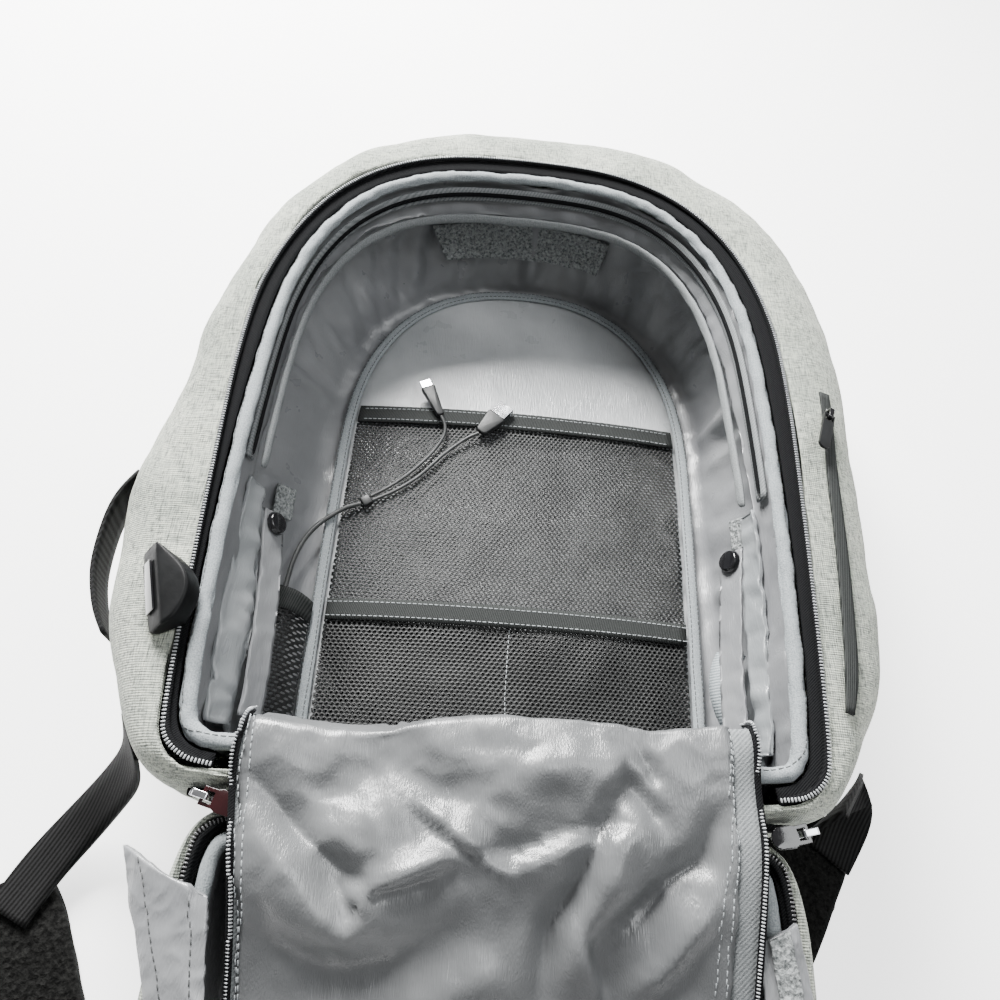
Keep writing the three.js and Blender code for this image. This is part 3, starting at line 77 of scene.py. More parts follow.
def addCamera():
    down, yaw, roll = (math.radians(view[k]) for k in ("down", "yaw", "roll"))
    ahead = Vector((math.sin(yaw) * math.cos(down), math.cos(yaw) * math.cos(down), -math.sin(down)))
    side = Vector((math.cos(yaw), -math.sin(yaw), 0))
    top = side.cross(ahead)
    right = math.cos(roll) * side + math.sin(roll) * top
    above = math.cos(roll) * top - math.sin(roll) * side
    data = bpy.data.cameras.new("photoCamera")
    data.lens = view["lens"]
    data.sensor_width = view["sensor"]
    data.clip_start = view["near"]
    camera = bpy.data.objects.new("photoCamera", data)
    turn = Matrix((right, above, -ahead)).transposed().to_4x4()
    camera.matrix_world = Matrix.Translation(place(*view["place"])) @ turn
    bpy.context.collection.objects.link(camera)
    bpy.context.scene.camera = camera


addCamera()

# Materials


def newFinish(name, **values):
    made = bpy.data.materials.new(name)
    made.use_nodes = True
    shader = made.node_tree.nodes["Principled BSDF"]
    for key, value in values.items():
        shader.inputs[key].default_value = value
    return made


def node(made, kind, links=None, **values):
    tree = made.node_tree
    new = tree.nodes.new(kind)
    for key, value in values.items():
        if hasattr(new, key):
            setattr(new, key, value)
        else:
            new.inputs[key.replace("_", " ")].default_value = value
    for socket, source in (links or {}).items():
        tree.links.new(source, new.inputs[socket])
    return new


def coords(made, stretch=(1, 1, 1), turn=(0, 0, 0)):
    source = node(made, "ShaderNodeTexCoord").outputs["Object"]
    mapping = node(made, "ShaderNodeMapping", {"Vector": source})
    mapping.inputs["Scale"].default_value = stretch
    mapping.inputs["Rotation"].default_value = turn
    return mapping.outputs[0]


def ramp(made, source, stops):
    new = node(made, "ShaderNodeValToRGB", {"Fac": source})
    line = new.color_ramp.elements
    while len(line) < len(stops):
        line.new(0.5)
    for spot, (at, color) in zip(line, stops):
        spot.position = at
        spot.color = (*color, 1) if hasattr(color, "__len__") else (color, color, color, 1)
    return new.outputs[0]


def tinted(made, color, tone):  # one colour times another
    new = node(made, "ShaderNodeMix", data_type="RGBA", blend_type="MULTIPLY")
    new.inputs[0].default_value = 1
    for socket, source in ((6, color), (7, tone)):
        made.node_tree.links.new(source, new.inputs[socket])
    return new.outputs[2]


def mathNode(made, kind, a, b=None):
    new = node(made, "ShaderNodeMath", operation=kind)
    for socket, source in ((0, a), (1, b)):
        if source is None:
            continue
        if isinstance(source, (int, float)):
            new.inputs[socket].default_value = source
        else:
            made.node_tree.links.new(source, new.inputs[socket])
    return new.outputs[0]


def setColor(made, source):
    made.node_tree.links.new(source, made.node_tree.nodes["Principled BSDF"].inputs["Base Color"])


def setRough(made, source):
    made.node_tree.links.new(source, made.node_tree.nodes["Principled BSDF"].inputs["Roughness"])


def setBump(made, heights, distance, strength):
    total = heights[0]
    for extra in heights[1:]:
        total = mathNode(made, "ADD", total, extra)
    bump = node(made, "ShaderNodeBump", {"Height": total}, Distance=distance, Strength=strength)
    made.node_tree.links.new(bump.outputs[0], made.node_tree.nodes["Principled BSDF"].inputs["Normal"])


def noiseAt(made, scale, detail, stretch=(1, 1, 1), turn=(0, 0, 0), rough=0.5):
    spots = coords(made, stretch, turn)
    new = node(made, "ShaderNodeTexNoise", {"Vector": spots}, Scale=scale, Detail=detail, Roughness=rough)
    return new.outputs["Fac"]


def waveAt(made, scale, direction, turn=(0, 0, 0)):
    new = node(made, "ShaderNodeTexWave", {"Vector": coords(made, turn=turn)}, Scale=scale)
    new.bands_direction = direction
    return new.outputs["Fac"]


clothDepth = 0.0004  # of the bumps of woven cloth
heatherValues = {  # two crossed thread noises, with long threads, over a weave
    "threads": 1500, "warp": (1, 0.09, 1), "weft": (0.09, 1, 0.5), "slant": (0, 0, 0.3), "cloud": 22, "weave": 260,
    "flecks": [(0.12, (0.13, 0.14, 0.13)), (0.22, (0.36, 0.38, 0.35)), (0.36, (0.56, 0.58, 0.51))],
    "tones": [(0.35, (0.74, 0.76, 0.73)), (0.65, (1.0, 1.0, 0.96))],
}
satinValues = {"cloud": 14, "threads": 1600, "thread": (1, 0.08, 1), "polish": 60, "pucker": 45, "gain": 2.0}


def heatherCloth():
    made = newFinish("heatherCloth", Roughness=0.95, **{"Sheen Weight": 0.08, "Specular IOR Level": 0.25})
    threads, slant = heatherValues["threads"], heatherValues["slant"]
    warp = noiseAt(made, threads, 2, heatherValues["warp"], slant)
    weft = noiseAt(made, threads, 2, heatherValues["weft"], slant)
    both = mathNode(made, "MULTIPLY", warp, weft)
    cloud = noiseAt(made, heatherValues["cloud"], 3)
    fleck = ramp(made, both, heatherValues["flecks"])
    setColor(made, tinted(made, fleck, ramp(made, cloud, heatherValues["tones"])))
    weave = [waveAt(made, heatherValues["weave"], direction) for direction in "XY"]
    setBump(made, [both, *weave], clothDepth, 0.5)
    return made


def satinCloth(name, dark, light, rough):
    made = newFinish(name, **{"Specular IOR Level": 0.9})
    cloud = noiseAt(made, satinValues["cloud"], 4)
    setColor(made, ramp(made, cloud, [(0.3, dark), (0.7, light)]))
    thread = noiseAt(made, satinValues["threads"], 1, satinValues["thread"])
    polish = noiseAt(made, satinValues["polish"], 3)
    setRough(made, ramp(made, polish, [(0.3, rough - 0.08), (0.7, rough + 0.1)]))
    pucker = noiseAt(made, satinValues["pucker"], 3)
    setBump(made, [thread, mathNode(made, "MULTIPLY", pucker, satinValues["gain"])], clothDepth, 0.6)
    return made


wavePeriod = 0.314  # of the wave texture's bands at scale 1, in metres


def ribbedCloth(name, dark, light, pitch, rough, turn=0.0, gloss=0.08, ribs=0.45):
    made = newFinish(name, **{"Specular IOR Level": gloss})
    rib = waveAt(made, wavePeriod / pitch, "X", (0, 0, turn))
    fuzz = noiseAt(made, 1400, 3)
    rib = mathNode(made, "MULTIPLY", rib, ribs)
    tone = mathNode(made, "ADD", rib, mathNode(made, "MULTIPLY", fuzz, 1 - ribs))
    setColor(made, ramp(made, tone, [(0.25, dark), (0.7, light)]))
    setRough(made, ramp(made, fuzz, [(0.3, rough - 0.1), (0.7, rough + 0.1)]))
    setBump(made, [rib, fuzz], clothDepth, 0.7)
    return made


meshValues = {  # three waves that cross make the mesh's holes; a full wave is a turn in radians
    "pitch": 0.0023, "wide": 0.8, "angles": (90, 30, 150), "turn": 6.283, "shift": 0.2, "depth": 0.0003,
    "open": [(0.0, 1.0), (0.05, 1.0), (0.2, 0.0)],
    "tones": [(0.3, (0.008, 0.0085, 0.0085)), (0.7, (0.021, 0.022, 0.022))],
}


def meshCloth():
    made = newFinish("hexMesh", Roughness=0.55, **{"Specular IOR Level": 0.45})
    spots = coords(made)
    waves = None
    for angle in meshValues["angles"]:
        across, along = (f(math.radians(angle)) / meshValues["pitch"] for f in (math.cos, math.sin))
        axis = (across * meshValues["turn"] * meshValues["wide"], along * meshValues["turn"], 0)
        dot = node(made, "ShaderNodeVectorMath", {0: spots}, operation="DOT_PRODUCT")
        dot.inputs[1].default_value = axis
        wave = mathNode(made, "COSINE", dot.outputs["Value"])
        waves = wave if waves is None else mathNode(made, "ADD", waves, wave)
    hole = ramp(made, mathNode(made, "ADD", waves, meshValues["shift"]), meshValues["open"])
    shader = made.node_tree.nodes["Principled BSDF"]
    made.node_tree.links.new(hole, shader.inputs["Alpha"])
    setColor(made, ramp(made, noiseAt(made, 30, 3), meshValues["tones"]))
    setBump(made, [waves], meshValues["depth"], 0.5)
    return made


def speckled(name, dark, light, scale, depth=0.0012, gloss=0.4):
    made = newFinish(name, Roughness=0.9, **{"Specular IOR Level": gloss})
    grit = noiseAt(made, scale, 4, rough=0.7)
    loops = node(made, "ShaderNodeTexVoronoi", {"Vector": coords(made)}, Scale=scale * 0.7).outputs["Distance"]
    middle = tuple((a + b) / 2 for a, b in zip(dark, light))
    setColor(made, ramp(made, grit, [(0.36, dark), (0.5, middle), (0.64, light)]))
    setBump(made, [grit, loops], depth, 0.9)
    return made


def moulded(name, color, rough, grain=900, depth=0.0001, **more):
    made = newFinish(name, **more)
    light = tuple(min(c * 1.5 + 0.002, 1) for c in color)
    setColor(made, ramp(made, noiseAt(made, 70, 3), [(0.3, color), (0.75, light)]))
    setRough(made, ramp(made, noiseAt(made, 120, 4), [(0.3, max(rough - 0.07, 0.03)), (0.7, rough + 0.1)]))
    setBump(made, [noiseAt(made, grain, 2)], depth, 0.3)
    return made


finishes = {
    "heather": heatherCloth(),
    "satin": satinCloth("satin", (0.2, 0.215, 0.225), (0.34, 0.355, 0.365), 0.34),
    "satinDark": satinCloth("satinLining", (0.17, 0.175, 0.185), (0.28, 0.286, 0.295), 0.34),
    # the flap's satin: a darker copy of the same satin, painted shade for the slopes that face away from the light
    "shadedFlapSatin": satinCloth("shadedFlapSatin", (0.105, 0.109, 0.113), (0.165, 0.17, 0.174), 0.34),
    "piping": ribbedCloth("piping", (0.15, 0.16, 0.165), (0.3, 0.315, 0.32), 0.0012, 0.7, ribs=0.06),
    "binding": ribbedCloth("greyBinding", (0.17, 0.188, 0.198), (0.38, 0.41, 0.425), 0.0012, 0.85, ribs=0.06),
    "tape": ribbedCloth("blackTape", (0.004, 0.004, 0.005), (0.014, 0.0145, 0.015), 0.001, 0.9, 0.8, 0.04),
    "greyTape": ribbedCloth("greyTape", (0.15, 0.16, 0.165), (0.3, 0.315, 0.322), 0.0016, 0.75, 0.8, ribs=0.3),
    "hem": ribbedCloth("darkHem", (0.016, 0.0175, 0.017), (0.05, 0.053, 0.052), 0.0011, 0.75, 0.2),
    "coil": moulded("zipCoil", (0.06, 0.06, 0.062), 0.22, **{"Specular IOR Level": 0.9}),
    # pale grey teeth for the black nylon coil: painted glint
    "glintPaintedCoil": moulded("glintPaintedCoil", (0.3, 0.31, 0.32), 0.2, **{"Specular IOR Level": 0.9}),
    "mesh": meshCloth(),
    # the panel under the mesh: the satin's own light grey, painted lighter still, with wide cloud bands as painted
    # highlight bands seen through the mesh
    "sheenPaintedBacking": satinCloth("sheenPaintedBacking", (0.33, 0.345, 0.355), (0.56, 0.575, 0.585), 0.33),
    "loop": speckled("loopPile", (0.09, 0.1, 0.1), (0.46, 0.48, 0.48), 520),
    "webbing": ribbedCloth("blackWebbing", (0.004, 0.004, 0.004), (0.02, 0.02, 0.0205), 0.0022, 0.75, 0.5),
    "elastic": ribbedCloth("greyElastic", (0.22, 0.25, 0.265), (0.45, 0.49, 0.51), 0.0018, 0.7, 1.57),
    "plastic": moulded("blackPlastic", (0.01, 0.0105, 0.011), 0.38, **{"Specular IOR Level": 0.25}),
    "rubber": moulded("rubber", (0.006, 0.0063, 0.0067), 0.5, 500, 0.0002, **{"Specular IOR Level": 0.14}),
    "gloss": moulded("glossBlack", (0.006, 0.006, 0.007), 0.1, **{"Coat Weight": 0.6}),
    "red": moulded("redEnamel", (0.016, 0.0013, 0.0022), 0.22, **{"Coat Weight": 0.7}),
    "cable": moulded("cableGrey", (0.035, 0.037, 0.037), 0.45),
    "plug": moulded("plugGrey", (0.018, 0.019, 0.0195), 0.4, **{"Specular IOR Level": 0.35}),
    "metal": moulded("brightMetal", (0.62, 0.63, 0.65), 0.18, Metallic=1.0),
    "airMesh": speckled("airMesh", (0.0015, 0.0015, 0.0015), (0.013, 0.013, 0.0125), 420, 0.0015, 0.1),
    "thread": moulded("darkThread", (0.05, 0.052, 0.052), 0.7),
    "paleThread": moulded("paleThread", (0.3, 0.32, 0.33), 0.7),
    "floor": newFinish(
        "paleFloor", Roughness=0.9,
        **{"Base Color": (0.95, 0.95, 0.95, 1), "Emission Color": (1, 1, 1, 1), "Emission Strength": 1.9},
    ),
}
print("finishes made")

# Meshes


def shown(name, work, finish, replaced=(), body=bag, smooth=True):
    mesh = bpy.data.meshes.new(name)
    if isinstance(work, bmesh.types.BMesh):
        work.to_mesh(mesh)
        work.free()
    else:
        mesh = work
        mesh.name = name
    if smooth:
        mesh.polygons.foreach_set("use_smooth", [True] * len(mesh.polygons))
    mesh.materials.clear()
    mesh.materials.append(finishes[finish])
    piece = bpy.data.objects.new(name, mesh)
    bpy.context.collection.objects.link(piece)
    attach(piece, body)
    if replaced:
        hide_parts(*replaced)
    return piece


samePoint = 0.00002  # points nearer than this are one
pairing = {"angle_face_threshold": 1.2, "angle_shape_threshold": 3.1}  # which triangles are paired
softEdge, hardEdge = 0.9, 0.6  # turn of a kept edge in cloth and in a hard piece, in radians


def merged(name):  # a node's mesh with its triangles paired again
    work = bmesh.new()
    work.from_mesh(frame["nodes"][name].data)
    bmesh.ops.transform(work, matrix=frame["nodes"][name].matrix_world, verts=work.verts)
    bmesh.ops.remove_doubles(work, verts=work.verts, dist=samePoint)
    bmesh.ops.join_triangles(work, faces=work.faces, **pairing)
    return work


def subdivided(work, levels, sharp, crease):  # Catmull-Clark with its sharp edges kept
    layer = work.edges.layers.float.get("crease_edge") or work.edges.layers.float.new("crease_edge")
    for edge in work.edges:
        if len(edge.link_faces) == 2 and edge.calc_face_angle(0) > sharp:
            edge[layer] = crease
    mesh = bpy.data.meshes.new("rough")
    work.to_mesh(mesh)
    work.free()
    holder = bpy.data.objects.new("rough", mesh)
    bpy.context.collection.objects.link(holder)
    change = holder.modifiers.new("smooth", "SUBSURF")
    change.levels = change.render_levels = levels
    done = bmesh.new()
    done.from_object(holder, bpy.context.evaluated_depsgraph_get())
    bpy.data.objects.remove(holder)
    return done


def outward(co):
    return (co - tray).normalized()


def upward(co):
    return up


wrinkle = {"seedTurn": 1.7, "fine": 2.1, "fineShare": 0.5, "ridge": 1.1, "ridgeGain": 2.2, "ridgeFrom": (5, 3, 1)}


def wrinkled(work, amount, size, seed, facing=upward, ridge=0.0, stretch=(1, 1, 1)):  # noise folds
    work.normal_update()
    start, ridgeStart = Vector((seed, seed * wrinkle["seedTurn"], 0)), Vector(wrinkle["ridgeFrom"])
    for vert in work.verts:
        toward = facing(vert.co)
        normal = vert.normal * (1 if vert.normal.dot(toward) > 0 else -1)
        spot = Vector([c * s / size for c, s in zip(vert.co, stretch)]) + start
        soft = noise.noise(spot) + wrinkle["fineShare"] * noise.noise(spot * wrinkle["fine"])
        sharp = 1 - wrinkle["ridgeGain"] * abs(noise.noise(spot * wrinkle["ridge"] + ridgeStart))
        vert.co += normal * amount * ((1 - ridge) * soft + ridge * sharp)


def alongFold(spot, line):  # distance to a line seen from above, which side, and how far along, 0 to 1
    best = None
    for k, (a, b) in enumerate(zip(line, line[1:])):
        dx, dy = b[0] - a[0], b[1] - a[1]
        share = ((spot[0] - a[0]) * dx + (spot[1] - a[1]) * dy) / (dx * dx + dy * dy)
        share = min(max(share, 0), 1)
        ex, ey = spot[0] - a[0] - share * dx, spot[1] - a[1] - share * dy
        away = math.hypot(ex, ey)
        if best is None or away < best[0]:
            best = (away, 1 if dx * ey - dy * ex > 0 else -1, (k + share) / (len(line) - 1))
    return best


foldShape = {"reach": 3, "endLift": 0.35, "endGain": 2.6, "stepRise": 0.22, "stepFall": 1.4, "creaseFall": 1.6}


def folded(work, folds):  # creases, ridges and steps along drawn lines
    work.normal_update()
    for vert in work.verts:
        spot = (vert.co - bagShift) * perMetre
        lift = 0
        for fold in folds:
            away, side, share = alongFold(spot, fold["line"])
            width = fold["width"]
            if away > foldShape["reach"] * width:
                continue
            fade = min(1, foldShape["endLift"] + foldShape["endGain"] * min(share, 1 - share))
            if fold["kind"] == "step":
                rise = min(1, away / (foldShape["stepRise"] * width))
                profile = side * math.exp(-((away / width) ** foldShape["stepFall"])) * rise
            elif fold["kind"] == "crease":
                profile = max(0, 1 - away / width) ** foldShape["creaseFall"]
            else:
                profile = math.exp(-((away / width) ** 2))
            lift += fold["lift"] * profile * fade
        normal = vert.normal * (1 if vert.normal.dot(up) > 0 else -1)
        vert.co += normal * lift / perMetre


gather = {"slant": 0.5, "slantTurn": 1.3, "slantFrom": 4, "gain": 2.4, "fade": 0.7}


def gathered(work, amount, count, low, high, seed):  # upright folds of a wall round the open tray
    work.normal_update()
    for vert in work.verts:
        share = (vert.co.z - low) / (high - low)
        if not 0 < share < 1:
            continue
        away = vert.co - tray
        turn = math.atan2(away.y, away.x)
        slant = gather["slant"] * share
        slant *= noise.noise(Vector((turn * gather["slantTurn"], seed, gather["slantFrom"])))
        ring = Vector((math.cos(turn + slant) * count, math.sin(turn + slant) * count, seed))
        fold = 1 - gather["gain"] * abs(noise.noise(ring))
        normal = vert.normal * (1 if vert.normal.dot(outward(vert.co)) > 0 else -1)
        vert.co += normal * amount * fold * math.sin(math.pi * share) ** gather["fade"]


def widened(work, side, factor):  # a side pocket drawn out towards the rim
    rows, rowHeight = {}, 0.01
    for vert in work.verts:
        row = round(vert.co.y / rowHeight)
        rows[row] = min(rows.get(row, 1), side * (vert.co.x - bagShift.x))
    for vert in work.verts:
        out = side * (vert.co.x - bagShift.x)
        row = vert.co.y / rowHeight
        near = [rows.get(math.floor(row), out), rows.get(math.floor(row) + 1, out)]
        inner = near[0] + (near[1] - near[0]) * (row - math.floor(row))
        vert.co.x += side * (out - inner) * factor


def clear(work):  # nothing below the floor
    for vert in work.verts:
        vert.co.z = max(vert.co.z, 0)


surfaces = {}  # what the stitches are laid on


def dressed(name, finish, slot, levels=2, folds=(), sharp=softEdge, crease=1.0, drawn=(), shaped=None):
    work = subdivided(merged(name), levels, sharp, crease)
    if shaped:
        shaped(work)
    for fold in folds:
        wrinkled(work, **fold)
    if drawn:
        folded(work, drawn)
    clear(work)
    surfaces[name] = BVHTree.FromBMesh(work)
    return shown(f"dressed_{name}", work, finish, (name,))


def rounded(work, edges, offset, segments, **more):
    bmesh.ops.bevel(
        work, geom=edges, offset=offset, segments=segments, profile=0.5, affect="EDGES", material=-1, **more
    )


def softEdged(name, finish, offset):  # a hard node with its edges rounded
    work = merged(name)
    edges = [e for e in work.edges if len(e.link_faces) == 2 and e.calc_face_angle(0) > hardEdge]
    rounded(work, edges, offset, 3, clamp_overlap=True)
    return shown(f"soft_{name}", work, finish, (name,), frame["nodes"][name].get("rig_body", bag))


def block(size):
    work = bmesh.new()
    bmesh.ops.create_cube(work, size=1)
    bmesh.ops.scale(work, vec=size, verts=work.verts)
    return work


def scattered(name, template, matrices, finish):
    work = bmesh.new()
    for matrix in matrices:
        copy = template.copy()
        copy.transform(matrix)
        work.from_mesh(copy)
        bpy.data.meshes.remove(copy)
    return shown(name, work, finish)


def templateBlock(size, bevel):
    work = block(size)
    rounded(work, work.edges, bevel, 1)
    mesh = bpy.data.meshes.new("template")
    work.to_mesh(mesh)
    work.free()
    return mesh


def spline(points, count):  # evenly along a smooth curve through the points, and the curve's length
    def at(t):
        i = min(int(t), len(points) - 2)
        f = t - i
        a, b, c, d = (points[max(min(k, len(points) - 1), 0)] for k in (i - 1, i, i + 1, i + 2))
        square, cube = (2 * a - 5 * b + 4 * c - d) * f * f, (3 * b - a - 3 * c + d) * f**3
        return 0.5 * (2 * b + (c - a) * f + square + cube)

    fine = [at((len(points) - 1) * k / (12 * len(points))) for k in range(12 * len(points) + 1)]
    lengths = [0.0]
    for a, b in zip(fine, fine[1:]):
        lengths.append(lengths[-1] + (b - a).length)
    out, k = [], 0
    for n in range(count):
        want = lengths[-1] * n / (count - 1)
        while k < len(fine) - 2 and lengths[k + 1] < want:
            k += 1
        span = lengths[k + 1] - lengths[k]
        out.append(fine[k].lerp(fine[k + 1], (want - lengths[k]) / span if span else 0))
    return out, lengths[-1]


def stripLine(name, short=0.0046):  # the middle line of a narrow strip node, with what is across it
    work = bmesh.new()
    work.from_mesh(frame["nodes"][name].data)
    bmesh.ops.remove_doubles(work, verts=work.verts, dist=samePoint)
    work.verts.index_update()
    group = {}
    for start in work.verts:
        if start.index in group:
            continue
        label = len(set(group.values()))
        stack = [start]
        while stack:
            vert = stack.pop()
            if vert.index in group:
                continue
            group[vert.index] = label
            stack += [e.other_vert(vert) for e in vert.link_edges if e.calc_length() < short]
    members = {}
    for vert in work.verts:
        members.setdefault(group[vert.index], []).append(vert.co.copy())
    beside = {label: set() for label in members}
    for edge in work.edges:
        a, b = (group[v.index] for v in edge.verts)
        if a != b:
            beside[a].add(b)
            beside[b].add(a)
    ends = [label for label, near in beside.items() if len(near) == 1] or [0]
    order, seen = [ends[0]], {ends[0]}
    while True:
        near = [label for label in beside[order[-1]] if label not in seen]
        if not near:
            break
        order.append(near[0])
        seen.add(near[0])
    middles, acrosses = [], []
    for label in order:
        spots = members[label]
        pairs = [(a - b) for a in spots for b in spots]
        across = max(pairs, key=lambda v: v.length)
        middles.append(sum(spots, Vector()) / len(spots))
        if acrosses and across.dot(acrosses[-1]) < 0:
            across = -across
        acrosses.append(across.normalized())
    work.free()
    return middles, acrosses


def alongPlaces(middles, acrosses, pitch, lift):  # a turned place for each tooth of a coil
    _, length = spline(middles, 3)
    count = max(int(length / pitch), 3)
    fine, _ = spline(middles, count)
    places = []
    for n, spot in enumerate(fine):
        ahead = (fine[min(n + 1, count - 1)] - fine[max(n - 1, 0)]).normalized()
        nearest = min(range(len(middles)), key=lambda k: (middles[k] - spot).length)
        side = acrosses[nearest]
        side = (side - ahead * side.dot(ahead)).normalized()
        normal = ahead.cross(side)
        if normal.z < 0:
            normal, side = -normal, -side
        turn = Matrix((ahead, side, normal)).transposed().to_4x4()
        places.append(Matrix.Translation(spot + normal * lift) @ turn)
    return places


stitch = {"share": 0.72, "width": 0.00055, "thick": 0.00045, "bevel": 0.00016, "lift": 0.0001}
search = {"above": 0.003, "reach": 0.012}  # where a stitch looks for its cloth


def stitched(name, host, line, side, pitch, finish, closed=False):
    # a row of stitches on a dressed piece, beside a line of points by so much
    middles, acrosses = line
    if closed:
        middles, acrosses = middles + middles[:1], acrosses + acrosses[:1]
    beside = [m + a * side for m, a in zip(middles, acrosses)]
    fine, _ = spline(beside, max(int(spline(beside, 3)[1] / pitch), 3))
    tree, places = surfaces[host], []
    for a, b in zip(fine, fine[1:]):
        spot, normal, _, away = tree.find_nearest((a + b) / 2 + up * search["above"])
        if spot is None or away > search["reach"]:
            continue
        if normal.z < 0:
            normal = -normal
        ahead = (b - a) - normal * (b - a).dot(normal)
        ahead.normalize()
        turn = Matrix((ahead, normal.cross(ahead), normal)).transposed().to_4x4()
        places.append(Matrix.Translation(spot + normal * stitch["lift"]) @ turn)
    thread = templateBlock((pitch * stitch["share"], stitch["width"], stitch["thick"]), stitch["bevel"])
    return scattered(name, thread, places, finish)


def drawnLine(*spots):  # a line of the rim's frame in millimetres, with what is level across it
    points = [place(*spot) for spot in spots]
    acrosses = []
    for k in range(len(points)):
        along = points[min(k + 1, len(points) - 1)] - points[max(k - 1, 0)]
        acrosses.append(along.cross(up).normalized())
    return points, acrosses


# Cords first

cableRoutes = {
    "cable_trunk": [
        (-135.2, 104, 42), (-134.4, 119, 42.5), (-134, 134, 42), (-132.6, 150, 40),
        (-128.5, 167, 36), (-120.5, 181, 32.4), (-108, 192.5, 31), (-97.6, 197.1, 31),
    ],
    "cable_branch_usb": [
        (-89.3, 200.7, 31.4), (-75, 209.5, 31.8), (-60, 222, 32.8),
        (-44, 241, 34.2), (-29, 254, 37), (-20.2, 258.4, 39),
    ],
    "cable_branch_micro": [
        (-91.3, 203.5, 31.4), (-78, 213.4, 31.8), (-64, 227, 32.8), (-53, 241, 34),
        (-46, 254, 35.6), (-45, 263, 37), (-48.6, 271.4, 37.9),
    ],
}
cordFacts = {
    "cable_trunk": {"width": 0.0032, "end": "fitting"},
    "cable_branch_usb": {"width": 0.0025, "end": "plug"},
    "cable_branch_micro": {"width": 0.0025, "end": "plug"},
}
cordPoints, cordRound = 34, 3


def addCord(name):
    facts = cordFacts[name]
    route = [place(*spot) for spot in cableRoutes[name]]
    points, length = spline(route, cordPoints)
    curve = bpy.data.curves.new(name, "CURVE")
    curve.dimensions = "3D"
    curve.bevel_depth = facts["width"] / 2
    curve.bevel_resolution = cordRound
    line = curve.splines.new("POLY")
    line.points.add(len(points) - 1)
    for spot, point in zip(line.points, points):
        spot.co = (*point, 1)
    curve.materials.append(finishes["cable"])
    piece = bpy.data.objects.new(f"soft_{name}", curve)
    bpy.context.collection.objects.link(piece)
    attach(piece, bag)
    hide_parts(name)
    print(name, round(length, 4))


plugs = {
    "usb_plug": {
        "place": (-19.6, 258.9, 39.2), "toward": (18, 24), "grip": 0.020, "width": 0.0156, "thick": 0.0056,
        "tip": (0.0115, 0.012, 0.0045),
    },
    "micro_plug": {
        "place": (-48.8, 271.8, 38), "toward": (-15.5, 31), "grip": 0.027, "width": 0.0106, "thick": 0.0054,
        "tip": (0.0065, 0.008, 0.0026),
    },
}
grips = {"tail": (1, 0.5, 0.75), "corner": 0.16, "edge": 0.0011, "upright": 0.003}
tips = {"sunk": 0.0003, "wall": 0.0005, "mouth": -0.004, "edge": 0.00025}


def plugGrip(facts):  # a rounded grip that narrows to the cable
    work = block((facts["grip"], facts["width"], facts["thick"]))
    bmesh.ops.translate(work, vec=(facts["grip"] / 2, 0, 0), verts=work.verts)
    bmesh.ops.scale(work, vec=grips["tail"], verts=[v for v in work.verts if v.co.x < facts["grip"] / 2])
    corners = [e for e in work.edges if abs(e.verts[0].co.z - e.verts[1].co.z) > grips["upright"]]
    rounded(work, corners, facts["width"] * grips["corner"], 4)
    rounded(work, [e for e in work.edges if e.calc_face_angle(0) > softEdge], grips["edge"], 3)
    return work


def addPlug(name):  # the moulded grip and the metal shell with its open mouth
    facts = plugs[name]
    turn = Matrix.Rotation(math.atan2(facts["toward"][1], facts["toward"][0]), 4, "Z")
    spot = Matrix.Translation(place(*facts["place"])) @ turn
    work = plugGrip(facts)
    bmesh.ops.transform(work, matrix=spot, verts=work.verts)
    grip = shown(f"{name}_grip", work, "plug", (name,))
    shell = block(facts["tip"])
    ahead = facts["grip"] + facts["tip"][0] / 2 - tips["sunk"]
    bmesh.ops.translate(shell, vec=(ahead, 0, 0), verts=shell.verts)
    mouth = [f for f in shell.faces if f.normal.x > 0.9]
    bmesh.ops.inset_region(shell, faces=mouth, thickness=tips["wall"], depth=tips["mouth"])
    rounded(shell, shell.edges, tips["edge"], 2)
    bmesh.ops.transform(shell, matrix=spot, verts=shell.verts)
    return [grip, shown(f"{name}_shell", shell, "metal", smooth=False)]


usbPieces, microPieces = addPlug("usb_plug"), addPlug("micro_plug")
collar = softEdged("cable_collar", "plug", 0.001)
addCord("cable_trunk")
addCord("cable_branch_usb")
addCord("cable_branch_micro")
print("cords laid")

# Shell

shellFolds = [
    {"amount": 0.0035, "size": 0.09, "seed": 3, "facing": outward},
    {"amount": 0.0011, "size": 0.028, "seed": 8, "facing": outward},
]
dressed("outer_shell", "heather", "heather_cloth", 3, shellFolds, crease=0.8)
liningFolds = [
    {"amount": 0.0042, "size": 0.045, "seed": 1, "facing": outward, "ridge": 0.5, "stretch": (1, 1, 0.45)},
    {"amount": 0.0016, "size": 0.014, "seed": 2, "facing": outward, "ridge": 0.7, "stretch": (1, 1, 0.5)},
]
liningGathers = {"amount": 0.0052, "count": 8, "low": 0.024, "high": 0.108, "seed": 3}
dressed(
    "tray_lining", "satinDark", "lining_satin", 3, liningFolds, crease=0.8,
    shaped=lambda work: gathered(work, **liningGathers),
)
bound = {"sharp": 2.0, "crease": 0}  # bindings and coils are round, with no kept edge
flatTape = {"sharp": 1.0}
rimFolds = [{"amount": 0.0011, "size": 0.01, "seed": 4}]
dressed("rim_binding", "binding", "binding_cloth", 3, rimFolds, **bound)
dressed("main_zip_tape", "tape", "black_tape", **flatTape)
dressed("inner_zip_tape", "greyTape", "grey_tape", **flatTape)
dressed("inner_piping", "piping", "binding_cloth", 2, [{"amount": 0.0005, "size": 0.01, "seed": 5}], **bound)
slack = {
    "edge": 268, "fade": 0.02, "size": (0.03, 0.055), "seed": 2, "depth": 0.0025,
    "gain": 2.6, "fineGain": 0.6, "fine": 2.3,
}


